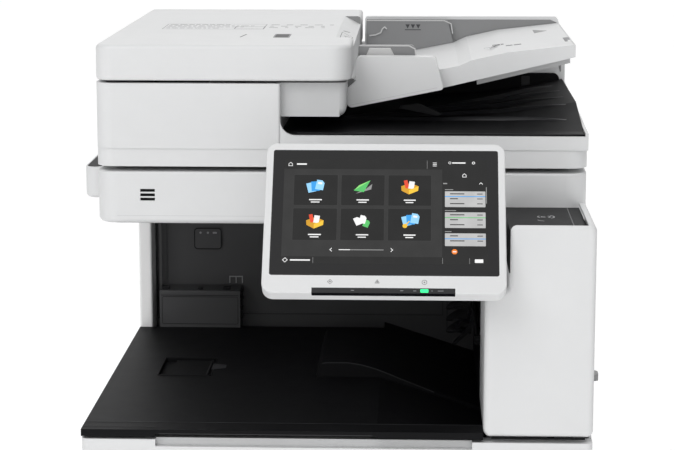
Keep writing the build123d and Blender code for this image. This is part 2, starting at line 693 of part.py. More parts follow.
def make_scanner():
    """Rounded tray of five slabs, with the top frame let into it."""
    x1 = half_width - scanner_wall
    y0 = deep(scanner_setback + scanner_wall)
    y1 = back_y - scanner_wall
    outer = block(-half_width, half_width, scanner_y, back_y, scanner_z, scanner_top)
    outer = rounded(outer, Axis.Z, scanner_corner, lambda c: c.Y < scanner_y + 1)
    outer = rounded(outer, Axis.Z, 10.0, lambda c: c.Y > back_y - 1)
    outer = fillet(outer.faces().sort_by(Axis.Z)[-1].edges(), 2.0)
    outer = fillet(outer.faces().sort_by(Axis.Z)[0].edges(), 6.0)
    floor_top = scanner_z + scanner_floor
    top = scanner_top + 1
    slot_x = 51.1 - half_width
    slots = []
    for rise in (27, 32, 37.2):
        z = scanner_z + rise
        slots.append(block(slot_x, slot_x + 16.9, scanner_y - 1, scanner_y + 3, z, z + 3.4))
    front = outer & block(-half_width, half_width, scanner_y, y0, scanner_z, top)
    for slot in slots:
        front -= slot
    back = outer & block(-half_width, half_width, y1, back_y, scanner_z, top)
    back -= hinge_room()
    left = outer & block(-half_width, -x1, y0, y1, scanner_z, top)
    right = outer & block(x1, half_width, y0, y1, scanner_z, top)
    floor = outer & block(-x1, x1, y0, y1, scanner_z, floor_top)
    write("scanner_housing", front, back, left, right, floor)
    frame_z = scanner_top - glass_thickness
    frame = block(-x1, x1, y0, y1, frame_z, scanner_top)
    glass_y0 = deep(glass_front)
    glass_y1 = glass_y0 + platen_depth
    platen = block(platen_left, platen_left + platen_length, glass_y0, glass_y1, frame_z, scanner_top)
    reading = block(reading_left, reading_left + reading_width, glass_y0, glass_y1, frame_z, scanner_top)
    write("scanner_top_frame", frame - platen - reading)
    write("scanner_glass", platen, reading)
    carriage_y1 = deep(rail_depth) + 12
    carriage_z = frame_z - 2.0
    carriage_y0 = carriage_y1 - carriage_length - 20
    carriage_x = reading_left - 3
    carriage = block(
        carriage_x, carriage_x + carriage_width, carriage_y0, carriage_y1, scanner_z + 9, carriage_z
    )
    carriage -= rod_x(-half_width, half_width, deep(rail_depth), scanner_z + 19, rail_radius + pin_clearance)
    write("scan_carriage", carriage)
    outer_x = -half_width - shelf_width
    shelf_z = (scanner_z + 20.8, scanner_top - 3)
    shelf = block(outer_x, -half_width, deep(shelf_front), deep(shelf_back), *shelf_z)
    shelf = rounded(shelf, Axis.Z, 14.0, lambda c: c.X < -half_width - 1)
    shelf = rounded(shelf, Axis.Y, 5.0, lambda c: c.X < -half_width - 1 and c.Z < scanner_z + 30)
    write("side_shelf", shelf)


# ---------------------------------------------------------------- control panel
panel_up_y = 0.6032
panel_up_z = 0.7976
panel_low = 34.2  # bezel's lowest edge, below the display's bottom line
screen_low = 13.5
panel_axis_y = deep(8.8)
panel_axis_z = scanner_z - 11.0
panel_axis_up = 25.0
panel_axis_behind = panel_thickness + 12.0
arm_half = 33.0
arm_left = panel_centre_x - arm_half
arm_right = panel_centre_x + arm_half
status_left = panel_centre_x - 77.0
status_right = panel_centre_x + 76.0
status_height = 6.2
panel_plane = Plane(
    origin=(
        panel_centre_x,
        panel_axis_y - panel_axis_up * panel_up_y - panel_axis_behind * panel_up_z,
        panel_axis_z - panel_axis_up * panel_up_z + panel_axis_behind * panel_up_y,
    ),
    x_dir=(1, 0, 0),
    z_dir=(0, -panel_up_z, panel_up_y),
)


def placed(shape):
    """Shape drawn across, up and out of the panel's face, moved to the panel."""
    return panel_plane.location * shape


def make_panel():
    half = panel_width / 2
    t0 = -panel_low
    t1 = t0 + panel_height
    slab = block(-half, half, t0, t1, -panel_thickness, 0)
    slab = rounded(slab, Axis.Z, 12.0)
    split = -bezel_thickness
    bezel = slab & block(-half, half, t0, t1, split, 0)
    shell = slab & block(-half, half, t0, t1, -panel_thickness, split)
    screen_half = screen_width / 2
    screen_top = screen_height - screen_low
    screen = block(-screen_half, screen_half, -screen_low, screen_top, -screen_thickness, 0)
    screen = rounded(screen, Axis.Z, 2.5)
    x0 = status_left - panel_centre_x
    x1 = status_right - panel_centre_x
    strip = block(x0, x1, t0, t0 + status_height, split, 0)
    bezel = bezel - screen - strip
    rim = [e for e in bezel.edges().filter_by(GeomType.LINE) if e.center().Z > -0.01]
    bezel = fillet([e for e in rim if abs(e.center().X) > half - 1], 1.5)
    shell = chamfer(shell.faces().sort_by(Axis.Z)[0].edges(), 5.0)
    for x in (arm_left - 12.5, arm_right + 0.5):
        x0 = x - panel_centre_x
        low = panel_axis_up - knuckle_radius
        high = panel_axis_up + knuckle_radius
        lug = block(x0, x0 + 12, low, high, -panel_axis_behind, -panel_thickness)
        lug += rod_x(x0, x0 + 12, panel_axis_up, -panel_axis_behind, knuckle_radius)
        lug -= rod_x(-half, half, panel_axis_up, -panel_axis_behind, panel_pin_radius + pin_clearance)
        shell += lug
    write("panel_shell", placed(shell))
    write("panel_bezel", placed(bezel))
    write("screen_glass", placed(screen))
    write("status_strip", placed(strip))


def make_panel_arm():
    top = scanner_z
    bottom = panel_axis_z - knuckle_radius
    arm = block(arm_left, arm_right, panel_axis_y, deep(250), bottom, top - 3)
    arm += block(arm_left, arm_right, deep(scanner_setback + 20), deep(250), bottom, top)
    arm += rod_x(arm_left, arm_right, panel_axis_y, panel_axis_z, knuckle_radius)
    arm = arm - rod_x(arm_left - 1, arm_right + 1, panel_axis_y, panel_axis_z, panel_pin_radius)
    write("panel_arm", arm)
    return rod_x(arm_left - 12, arm_right + 12, panel_axis_y, panel_axis_z, panel_pin_radius)


# ---------------------------------------------------------------- document feeder
feeder_strip = 21.0  # narrow band at the feeder's foot
feeder_back = back_y - 2.0
feeder_corner = 20.0
feed_unit_x = -half_width + feed_unit_width
feeder_out_z = feeder_z + feeder_strip + low_wall
rear_unit_y = back_y - rear_unit_depth
cover_right = -half_width + cover_width
entry_right = cover_right - 13.0
entry_nose = cover_right - 5.4  # right side of the entry's front part
entry_nose_depth = 61.0
entry_bottom = feeder_top - 39.0
entry_front = 160.0
hinge_axis_y = back_y + hinge_reach - hinge_radius
hinge_axis_z = scanner_top + feeder_gap / 2
hinge_x = half_width - 102.5
hinge_half = 30.0
hinge_middle = 10.0
leaf_thickness = 2.0
cover_axis_x = -half_width + 3.0
cover_axis_z = cover_z + 3.0
cover_lug_depths = (250.0, 560.0)
pickup_x = cover_right - 33.0
pickup_radius = 9.0
pickup_z = feeder_top + 2.0 - pickup_radius
turn_x = 57.5 - half_width
turn_radius = 26.0
turn_z = feeder_z + feeder_strip + turn_radius + 6.0


def hinge_room():
    """Space that both hinges need in the edges of the scanner and the feeder."""
    half = hinge_half + 1
    radius = hinge_radius + 0.7
    left = rod_x(-hinge_x - half, -hinge_x + half, hinge_axis_y, hinge_axis_z, radius)
    return left + rod_x(hinge_x - half, hinge_x + half, hinge_axis_y, hinge_axis_z, radius)


def make_feeder_hinges():
    lower = []
    upper = []
    pins = []
    for x in (-hinge_x, hinge_x):
        outer = x + hinge_half
        inner = x + hinge_middle
        bore = rod_x(x - 50, x + 50, hinge_axis_y, hinge_axis_z, hinge_pin_radius)
        wide_bore = rod_x(x - 50, x + 50, hinge_axis_y, hinge_axis_z, hinge_pin_radius + pin_clearance)
        leaf = block(x - hinge_half, outer, back_y, back_y + leaf_thickness, scanner_z + 20, hinge_axis_z)
        leaf -= block(
            x - hinge_middle - 0.5, inner + 0.5, back_y - 1, back_y + 9, hinge_axis_z - 7, hinge_axis_z + 1
        )
        leaf += rod_x(x - hinge_half, x - hinge_middle - 0.5, hinge_axis_y, hinge_axis_z, hinge_radius)
        leaf += rod_x(inner + 0.5, outer, hinge_axis_y, hinge_axis_z, hinge_radius)
        lower.append(leaf - bore)
        flap_back = feeder_back + leaf_thickness
        flap = block(x - hinge_middle, inner, feeder_back, flap_back, hinge_axis_z, feeder_z + 40)
        flap += rod_x(x - hinge_middle, inner, hinge_axis_y, hinge_axis_z, hinge_radius)
        upper.append(flap - wide_bore)
        pins.append(rod_x(x - hinge_half, outer, hinge_axis_y, hinge_axis_z, hinge_pin_radius))
    write("feeder_hinge_leaves", *lower)
    write("feeder_hinge_flaps", *upper)
    return pins


def make_feeder_base():
    base = block(-half_width, half_width, scanner_y + 1.5, feeder_back, feeder_z, feeder_z + feeder_strip)
    base = rounded(base, Axis.Z, feeder_corner, lambda c: c.Y < scanner_y + 2)
    rim = 14.0
    inner = half_width - rim
    base -= block(-inner, inner, scanner_y + rim, feeder_back - rim, feeder_z + 4, feeder_top)
    write("feeder_base", base - hinge_room())
    pad_x = (reading_left - 14, platen_left + platen_length + 8)
    pad_y = (deep(glass_front - 10), deep(glass_front + platen_depth + 10))
    pad = block(*pad_x, *pad_y, scanner_top + 0.4, feeder_z)
    write("platen_pad", rounded(pad, Axis.Z, 4.0))


def cover_lug(y):
    """Lug with its own pin, which one hinge eye of the top cover turns on."""
    arm = block(-half_width + 0.3, cover_axis_x + 2.5, y - 5, y + 5, feeder_top, cover_axis_z)
    arm += rod_y(y - 5, y + 5, cover_axis_x, cover_axis_z, 2.6)
    return arm + rod_y(y - 12, y + 12, cover_axis_x, cover_axis_z, 1.2)


def make_feed_unit():
    """Left part of the feeder: an open box of five slabs that the top cover closes."""
    z0 = feeder_z + feeder_strip
    unit = block(-half_width, feed_unit_x, scanner_y, feeder_back, z0, feeder_top)
    unit = rounded(unit, Axis.Z, feeder_corner, lambda c: c.X < feed_unit_x - 1 and c.Y < scanner_y + 1)
    unit = rounded(unit, Axis.Z, 3.0, lambda c: c.X > feed_unit_x - 1 and c.Y < scanner_y + 1)
    inner_x = (-half_width + 12, feed_unit_x - 5)
    inner_y = (scanner_y + 12, feeder_back - 5)
    across = (-half_width, feed_unit_x)
    slabs = [unit & block(*across, scanner_y, inner_y[0], z0, feeder_top)]
    slabs.append(unit & block(*across, inner_y[1], feeder_back, z0, feeder_top))
    left = unit & block(-half_width, inner_x[0], *inner_y, z0, feeder_top)
    for depth in cover_lug_depths:
        left += cover_lug(deep(depth))
    slabs.append(left)
    slabs.append(unit & block(inner_x[1], feed_unit_x, *inner_y, z0, feeder_top))
    slabs.append(unit & block(*inner_x, *inner_y, z0, z0 + 3))
    radius = 17.0
    corner_x = (feed_unit_x, feed_unit_x + radius)
    corner = block(*corner_x, scanner_y, scanner_y + 5, feeder_out_z, feeder_out_z + radius)
    corner -= rod_y(scanner_y - 1, scanner_y + 6, feed_unit_x + radius, feeder_out_z + radius, radius)
    front = block(feed_unit_x, half_width - feeder_wall, scanner_y, scanner_y + 5, z0, feeder_out_z) + corner
    side_line = [(scanner_y, z0), (rear_unit_y, z0), (rear_unit_y, feeder_out_z + 18)]
    side_line += [(scanner_y, feeder_out_z + 4)]
    side = prism_x(side_line, half_width - feeder_wall, half_width)
    write("feed_unit", *slabs, front, side)
    turn = rod_y(scanner_y + 14, feeder_back - 8, turn_x, turn_z, turn_radius)
    write("turn_roller", turn)


def make_entry():
    """Paper entry between the feed tray and the feed unit, with the pickup roller in it."""
    entry = block(feed_unit_x, entry_right, deep(entry_front), rear_unit_y, entry_bottom, feeder_top)
    nose_back = deep(entry_front + entry_nose_depth)
    nose = block(feed_unit_x, entry_nose, deep(entry_front), nose_back, entry_bottom, feeder_top)
    nose = rounded(nose, Axis.Y, 10.0, lambda c: c.X > entry_nose - 1 and c.Z < entry_bottom + 1)
    nose = rounded(nose, Axis.Z, 9.5, lambda c: c.X > entry_nose - 1 and c.Y < deep(entry_front) + 1)
    entry += nose
    room_x = (feed_unit_x + 8, entry_right - 8)
    entry -= block(*room_x, deep(entry_front + 60), rear_unit_y - 20, entry_bottom + 6, feeder_top + 1)
    bore = rod_y(deep(entry_front) + 1, rear_unit_y + 1, pickup_x, pickup_z, 3.0 + pin_clearance)
    lug_y = deep(feed_tray_front + 1)
    lug = block(entry_right, tray_axis_x + 5, lug_y, lug_y + 8, tray_axis_z - 6, tray_axis_z + 5)
    stub = rod_y(lug_y, lug_y + 18, tray_axis_x, tray_axis_z, tray_pin_radius)
    write("feeder_entry", entry - bore, lug + stub)
    roller = rod_y(deep(entry_front + 200), rear_unit_y - 160, pickup_x, pickup_z, pickup_radius)
    roller += rod_y(deep(entry_front + 40), rear_unit_y - 8, pickup_x, pickup_z, 3.0)
    write("pickup_roller", roller)


def make_document_output():
    """Black rest for the copied sheets, rising to the right."""
    band_y = deep(176.0)
    rise_y = deep(306.0)
    x1 = half_width - feeder_wall
    thickness = 4.0
    stations = (feed_unit_x, half_width - 172.5, half_width - 92.5, x1)
    front_top = feeder_out_z + 2.3
    flat = [(x, front_top) for x in stations]
    risen = [(x, feeder_out_z + rise) for x, rise in zip(stations, (-1.7, 0.3, 6.3, 21.3))]
    sections = []
    for y, line in ((band_y, flat), (rise_y, risen)):
        ring = line + [(x, z - thickness) for x, z in reversed(line)]
        sections.append(Face(Wire.make_polygon([Vector(x, y, z) for x, z in ring], close=True)))
    rest = loft(sections, ruled=True)
    rest += prism_y(risen + [(x, z - thickness) for x, z in reversed(risen)], rise_y, rear_unit_y)
    rest += block(feed_unit_x, x1, scanner_y + 5, band_y, front_top - thickness, front_top)
    wall_top = feeder_out_z + 29.3
    back_wall = block(
        cover_right + 59, half_width - 7.8, rear_unit_y - 4, rear_unit_y, feeder_out_z - 6.7, wall_top
    )
    back_wall = rounded(back_wall, Axis.Y, 8.0, lambda c: c.Z > wall_top - 1)
    write("document_output", rest + back_wall)


def make_rear_unit():
    z0 = feeder_z + feeder_strip
    left = cover_right + 6
    shoulder = cover_top - 34
    outline = [(feed_unit_x, z0), (half_width, z0), (half_width, shoulder), (half_width - 11.5, cover_top)]
    outline += [(left, cover_top), (left, feeder_top), (feed_unit_x, feeder_top)]
    unit = prism_y(outline, rear_unit_y, feeder_back)
    unit = rounded(unit, Axis.Y, 4.0, lambda c: c.Z > cover_top - 1)
    falling = [(rear_unit_y + 8, cover_top + 1), (feeder_back + 1, cover_top - 22)]
    falling += [(feeder_back + 1, cover_top + 1)]
    unit -= prism_x(falling, left - 1, half_width + 1)
    hollow = [(feed_unit_x + 4, z0 - 1), (half_width - 5, z0 - 1), (half_width - 5, shoulder - 4)]
    hollow += [(half_width - 16.5, cover_top - 27)]
    hollow += [(left + 4, cover_top - 27), (left + 4, feeder_top - 4), (feed_unit_x + 4, feeder_top - 4)]
    inner = prism_y(hollow, rear_unit_y + 14, feeder_back - 4)
    stub = rod_y(deep(feed_tray_back) - 8, rear_unit_y + 1, tray_axis_x, tray_axis_z, tray_pin_radius)
    write("rear_unit", unit - inner + stub)


def make_top_cover():
    """Shallow lid with a slanted finger recess in its right edge."""
    cover = block(-half_width, cover_right, scanner_y, feeder_back, cover_z, cover_top)
    middle = cover_right - cover_width / 2
    cover = rounded(cover, Axis.Z, feeder_corner, lambda c: c.X < middle and c.Y < scanner_y + 1)
    cover = rounded(cover, Axis.Z, 25.0, lambda c: c.X > middle and c.Y < scanner_y + 1)
    cover = fillet(cover.faces().sort_by(Axis.Z)[-1].edges(), 5.0)
    cover = rounded(cover, Axis.Y, 2.9, lambda c: c.X < middle and c.Z < cover_z + 1)
    recess = [(cover_right - 21, cover_top + 1), (cover_right - 21, cover_top)]
    recess += [(cover_right, cover_top - 11), (cover_right + 1, cover_top + 1)]
    notch = prism_y(recess, deep(250.0), deep(571.0))
    inside_right = cover_right - 24
    inside_y = (scanner_y + 14, feeder_back - 8)
    inside = block(-half_width + 14, inside_right, *inside_y, cover_z - 1, cover_top - 4)
    cover = cover - notch - inside
    for depth in cover_lug_depths:
        y = deep(depth)
        cover -= block(-half_width - 1, cover_axis_x + 4, y - 6, y + 6, cover_z - 1, cover_axis_z + 4)
        cover -= rod_y(y - 13, y + 13, cover_axis_x, cover_axis_z, 1.2 + pin_clearance)
    write("top_cover", cover)


# ---------------------------------------------------------------- document feed tray
tray_axis_x = cover_right - 4.0
tray_axis_z = feeder_top - 10.0
tray_pin_radius = 2.0
tray_knuckle = 4.5
feed_tray_front = 246.0
feed_tray_back = 563.0
plate_front = 225.0
feed_tray_end = half_width - 9.3
tray_line = [(4, -13), (101, 6.5), (125, 11), (140, 17.9), (181.5, 27.2)]  # from the cover's corner
feed_tray_top = [(cover_right + x, feeder_top + z) for x, z in tray_line]
feed_tray_top += [(feed_tray_end, feeder_top + 36.5)]
feed_tray_under = [(feed_tray_end, feeder_top + 22), (cover_right + 107, feeder_top - 14.8)]
feed_tray_under += [(cover_right + 4, feeder_top - 20)]
plate_line = [(4, 23.6), (97.4, 23.6), (106.9, -14.5), (-6.6, -37.4), (-6.6, -13.2), (4, -4.7)]


def tray_surface(x):
    """Height of the feed tray's top at a place across it."""
    for (x0, z0), (x1, z1) in zip(feed_tray_top, feed_tray_top[1:]):
        if x0 <= x <= x1:
            return z0 + (z1 - z0) * (x - x0) / (x1 - x0)
    return feed_tray_top[-1][1]


def make_feed_tray():
    y0 = deep(feed_tray_front)
    y1 = deep(feed_tray_back)
    tray = prism_y(feed_tray_top + feed_tray_under, y0, y1)
    knuckle_y = y0 + 10
    foot_x0 = cover_right + 3
    tray -= block(foot_x0, foot_x0 + 4, y0 - 1, knuckle_y, tray_axis_z - 20, tray_axis_z + 20)
    tray += block(tray_axis_x, foot_x0 + 2, knuckle_y, y1, tray_axis_z - 3.5, tray_axis_z - 1.5)
    tray += rod_y(knuckle_y, y1, tray_axis_x, tray_axis_z, tray_knuckle)
    tray -= rod_y(y0 - 1, y1 + 1, tray_axis_x, tray_axis_z, tray_pin_radius + pin_clearance)
    plate = prism_y([(cover_right + x, feeder_top + z) for x, z in plate_line], deep(plate_front), y0)
    plate = rounded(plate, Axis.Y, 6.0, lambda c: c.Z > feeder_top + 23 or c.Z < feeder_top - 37)
    plate = rounded(plate, Axis.Y, 3.0, lambda c: c.X > cover_right + 106 and c.Z < feeder_top - 14)
    write("feed_tray", tray, plate)
    run = (feed_tray_under[0][0] - feed_tray_under[1][0], feed_tray_under[0][1] - feed_tray_under[1][1])
    slope = run[1] / run[0]
    x0 = feed_tray_end - 115.2
    x1 = feed_tray_end - 5.2
    z0 = feed_tray_under[1][1] + slope * (x0 - feed_tray_under[1][0]) - slide_clearance
    z1 = feed_tray_under[1][1] + slope * (x1 - feed_tray_under[1][0]) - slide_clearance
    under = [(x0, z0), (x1, z1), (x1, z1 - 7), (x0, z0 - 7)]
    write("tray_extension", prism_y(under, deep(262.0), deep(548.0)))


def guide(x0, x1, lean, top, y, thickness):
    """Upright guide whose foot follows the tray's top."""
    stations = [x0, *(x for x, _ in feed_tray_top if x0 < x < x1 + lean), x1 + lean]
    outline = [(x, tray_surface(x) + slide_clearance) for x in stations]
    outline += [(x1, top), (x0, top)]
    return prism_y(outline, y, y + thickness)


def make_guides():
    left = cover_right + 6
    front_top = feeder_top + 35.0
    rear_top = feeder_top + 40.6
    front = guide(left, left + 66, 3.0, front_top, deep(feed_tray_front + 8), guide_thickness)
    write("front_guide", rounded(front, Axis.Y, 4.0, lambda c: c.Z > front_top - 1))
    rear = guide(left + 2, left + 109, 8.0, rear_top, deep(feed_tray_back - 9), guide_thickness)
    write("rear_guide", rounded(rear, Axis.Y, 3.0, lambda c: c.Z > rear_top - 1))


make_base()
make_frame()
make_covers()
door_pins = make_front_door()
make_cassettes()
make_side_door()
make_bypass()
make_output_tray()
make_stopper()
make_cavity()
make_column()
make_exit_unit()
make_engine()
make_electrics()
make_scanner()
make_panel()
panel_pin = make_panel_arm()
feeder_pins = make_feeder_hinges()
write("hinge_pins", panel_pin, *door_pins, *feeder_pins, *side_door_pins())
make_feeder_base()
make_feed_unit()
make_entry()
make_document_output()
make_rear_unit()
make_top_cover()
make_feed_tray()
make_guides()
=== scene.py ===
import math
import random

import bmesh
import bpy
from mathutils import Matrix, Vector


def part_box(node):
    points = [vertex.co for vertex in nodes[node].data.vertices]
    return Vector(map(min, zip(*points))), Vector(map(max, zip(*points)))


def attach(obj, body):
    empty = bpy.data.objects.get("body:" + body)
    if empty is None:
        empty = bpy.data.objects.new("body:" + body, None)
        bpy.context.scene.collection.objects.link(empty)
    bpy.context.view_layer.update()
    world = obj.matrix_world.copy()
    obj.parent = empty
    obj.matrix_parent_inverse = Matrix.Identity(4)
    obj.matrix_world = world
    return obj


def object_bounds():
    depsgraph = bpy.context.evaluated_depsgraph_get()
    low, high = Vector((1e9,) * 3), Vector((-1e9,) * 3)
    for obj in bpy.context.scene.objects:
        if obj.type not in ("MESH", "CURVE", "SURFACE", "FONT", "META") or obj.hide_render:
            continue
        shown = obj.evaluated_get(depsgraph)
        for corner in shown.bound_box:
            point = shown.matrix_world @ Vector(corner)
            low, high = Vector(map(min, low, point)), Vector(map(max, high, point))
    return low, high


# Office copier: looks for the CAD model, and the fine pieces that sit on it. Metres throughout.

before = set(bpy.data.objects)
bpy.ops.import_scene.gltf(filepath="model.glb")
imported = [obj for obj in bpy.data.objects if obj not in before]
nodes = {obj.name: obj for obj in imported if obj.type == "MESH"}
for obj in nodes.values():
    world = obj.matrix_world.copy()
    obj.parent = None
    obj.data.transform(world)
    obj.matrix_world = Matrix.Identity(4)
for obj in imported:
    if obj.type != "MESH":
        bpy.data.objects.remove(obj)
cad_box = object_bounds()
random.seed(7)

# ---------------------------------------------------------------- places read from the frame
LOW = Vector(cad_box[0])
FRONT_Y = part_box("front_door")[0][1]
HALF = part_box("side_covers")[1][0]
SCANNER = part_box("scanner_housing")
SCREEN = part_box("screen_glass")
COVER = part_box("top_cover")
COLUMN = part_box("column_cover")
MM = 0.001  # a millimetre in metres
IN_MM = 1000  # millimetres in a metre


def deep(depth):
    """Y of a place so many millimetres behind the front plane."""
    return FRONT_Y + depth * MM


# ---------------------------------------------------------------- materials
def node_maker(material):
    tree = material.node_tree
    tree.nodes.clear()

    def make(kind, **inputs):
        node = tree.nodes.new(kind)
        for name, value in inputs.items():
            node.inputs[name.replace("_", " ")].default_value = value
        return node

    return tree, make


def ramp(make, low, high, colour_low, colour_high):
    """Colour ramp between two colours."""
    node = make("ShaderNodeValToRGB")
    node.color_ramp.elements[0].position = low
    node.color_ramp.elements[0].color = (*colour_low, 1)
    node.color_ramp.elements[1].position = high
    node.color_ramp.elements[1].color = (*colour_high, 1)
    return node


def shade(colour, factor):
    return tuple(min(1.0, c * factor) for c in colour)


def moulded(name, colour, rough=0.42, grain=900.0, depth=0.00006, drift=0.02, wear=1.0, coat=0.0, metal=0.0,
            shine_level=0.5):
    """Moulded plastic or coated metal: fine grain, slow drift of colour, faint handling wear."""
    material = bpy.data.materials.new(name)
    material.use_nodes = True
    tree, make = node_maker(material)
    link = tree.links.new
    place = make("ShaderNodeTexCoord")
    slow = make("ShaderNodeTexNoise", Scale=6.0, Detail=3.0, Roughness=0.55)
    fine = make("ShaderNodeTexNoise", Scale=grain, Detail=2.0, Roughness=0.6)
    smear = make("ShaderNodeTexNoise", Scale=38.0, Detail=6.0, Roughness=0.7)
    for texture in (slow, fine, smear):
        link(place.outputs["Object"], texture.inputs["Vector"])
    tint = ramp(make, 0.3, 0.7, shade(colour, 1 - drift * 1.5), shade(colour, 1 + drift * 0.6))
    link(slow.outputs["Fac"], tint.inputs["Fac"])
    speck = make("ShaderNodeMixRGB", Fac=0.10 * wear)
    speck.blend_type = "MULTIPLY"
    speck_ramp = ramp(make, 0.42, 0.60, (0.86, 0.86, 0.85), (1.0, 1.0, 1.0))
    link(smear.outputs["Fac"], speck_ramp.inputs["Fac"])
    link(tint.outputs["Color"], speck.inputs["Color1"])
    link(speck_ramp.outputs["Color"], speck.inputs["Color2"])
    shine = make("ShaderNodeMapRange")
    shine.inputs["From Min"].default_value = 0.35
    shine.inputs["From Max"].default_value = 0.65
    shine.inputs["To Min"].default_value = max(0.02, rough - 0.05 * wear)
    shine.inputs["To Max"].default_value = min(1.0, rough + 0.07 * wear)
    link(smear.outputs["Fac"], shine.inputs["Value"])
    bump = make("ShaderNodeBump", Strength=0.35, Distance=depth)
    link(fine.outputs["Fac"], bump.inputs["Height"])
    surface = make("ShaderNodeBsdfPrincipled")
    surface.inputs["Metallic"].default_value = metal
    surface.inputs["Coat Weight"].default_value = coat
    surface.inputs["Specular IOR Level"].default_value = shine_level
    link(speck.outputs["Color"], surface.inputs["Base Color"])
    link(shine.outputs["Result"], surface.inputs["Roughness"])
    link(bump.outputs["Normal"], surface.inputs["Normal"])
    out = make("ShaderNodeOutputMaterial")
    link(surface.outputs["BSDF"], out.inputs["Surface"])
    return material


def brushed(name, colour, rough=0.32):
    """Zinc-plated steel sheet with a drawn grain along X."""
    material = moulded(name, colour, rough, 700.0, 0.00003, 0.05, 1.2, 0.0, 1.0)
    tree = material.node_tree
    place = next(n for n in tree.nodes if n.type == "TEX_COORD")
    grain = tree.nodes.new("ShaderNodeTexNoise")
    grain.inputs["Scale"].default_value = 60.0
    grain.inputs["Detail"].default_value = 4.0
    stretch = tree.nodes.new("ShaderNodeMapping")
    stretch.inputs["Scale"].default_value = (1.0, 30.0, 30.0)
    tree.links.new(place.outputs["Object"], stretch.inputs["Vector"])
    tree.links.new(stretch.outputs["Vector"], grain.inputs["Vector"])
    bump = next(n for n in tree.nodes if n.type == "BUMP")
    tree.links.new(grain.outputs["Fac"], bump.inputs["Height"])
    return material


def glowing(name, colour, strength):
    """Lit picture element: its own light plus a faint gloss, with a slight drift across it."""
    material = bpy.data.materials.new(name)
    material.use_nodes = True
    tree, make = node_maker(material)
    link = tree.links.new
    place = make("ShaderNodeTexCoord")
    slow = make("ShaderNodeTexNoise", Scale=55.0, Detail=2.0)
    link(place.outputs["Object"], slow.inputs["Vector"])
    tint = ramp(make, 0.3, 0.7, shade(colour, 0.93), shade(colour, 1.05))
    link(slow.outputs["Fac"], tint.inputs["Fac"])
    surface = make("ShaderNodeBsdfPrincipled", Roughness=0.35)
    surface.inputs["Specular IOR Level"].default_value = 0.12
    surface.inputs["Emission Strength"].default_value = strength
    link(tint.outputs["Color"], surface.inputs["Emission Color"])
    dark = ramp(make, 0.3, 0.7, shade(colour, 0.18), shade(colour, 0.22))
    link(slow.outputs["Fac"], dark.inputs["Fac"])
    link(dark.outputs["Color"], surface.inputs["Base Color"])
    out = make("ShaderNodeOutputMaterial")
    link(surface.outputs["BSDF"], out.inputs["Surface"])
    return material


def clear_glass(name, tint, rough=0.03, alpha=0.35):
    material = moulded(name, tint, rough, 300.0, 0.00001, 0.02, 0.4, 0.6)
    surface = next(n for n in material.node_tree.nodes if n.type == "BSDF_PRINCIPLED")
    surface.inputs["Alpha"].default_value = alpha
    return material


# name, colour, roughness, grain per metre, grain depth in metres, colour drift, wear
WHITE = moulded("white_plastic", (0.69, 0.695, 0.70), 0.42, 950.0, 0.00005, 0.012, 0.7, shine_level=0.40)
# Lighter copy of the white plastic for the rear pillar: painted light against the shade of the cavity it
# stands in.
PILLAR_LIGHTENED_WHITE = moulded("pillar_white_painted_light", (0.84, 0.84, 0.84), 0.50, 900.0, 0.00005, 0.02, 0.5, shine_level=0.40)
LIGHT_GREY = moulded("light_grey_plastic", (0.56, 0.565, 0.57), 0.45, 900.0, 0.00006, 0.02, 0.9,
                     shine_level=0.35)
MID_GREY = moulded("mid_grey_plastic", (0.27, 0.272, 0.275), 0.45, 900.0, 0.00006, 0.03, 0.8,
                   shine_level=0.30)
DARK_GREY = moulded("dark_grey_plastic", (0.030, 0.030, 0.033), 0.50, 800.0, 0.00010, 0.08, 0.5,
                    shine_level=0.30)
BLACK = moulded("black_plastic", (0.0060, 0.0060, 0.0068), 0.52, 750.0, 0.00010, 0.10, 0.2, shine_level=0.09)
CAVITY = moulded("cavity_black", (0.058, 0.058, 0.060), 0.55, 800.0, 0.00008, 0.08, 0.3, shine_level=0.25)
SATIN_BLACK = moulded("satin_black", (0.010, 0.010, 0.011), 0.42, 900.0, 0.00003, 0.05, 0.2, shine_level=0.10)
# Lighter, glossier copy of the output's black for its ribs: painted sheen on their crests.
RIB_LIT_BLACK = moulded("rib_black_painted_sheen", (0.016, 0.016, 0.018), 0.34, 900.0, 0.00003, 0.05, 0.2, shine_level=0.30)
GLOSS_BLACK = moulded("gloss_black", (0.006, 0.006, 0.008), 0.12, 500.0, 0.00001, 0.05, 0.2, shine_level=0.40)
GUIDE = moulded("smoked_guide", (0.25, 0.252, 0.256), 0.28, 500.0, 0.00002, 0.03, 0.12, shine_level=0.35)
RIM_WHITE = moulded("guide_rim", (0.60, 0.60, 0.60), 0.35, 700.0, 0.00002, 0.03, 0.8, shine_level=0.40)
# Grey print, also used as painted shade in the feed tray's notch.
GREY_PRINT_AND_SHADE = moulded("grey_print_and_painted_shade", (0.22, 0.22, 0.23), 0.50, 900.0, 0.00002, 0.05, 1.0)
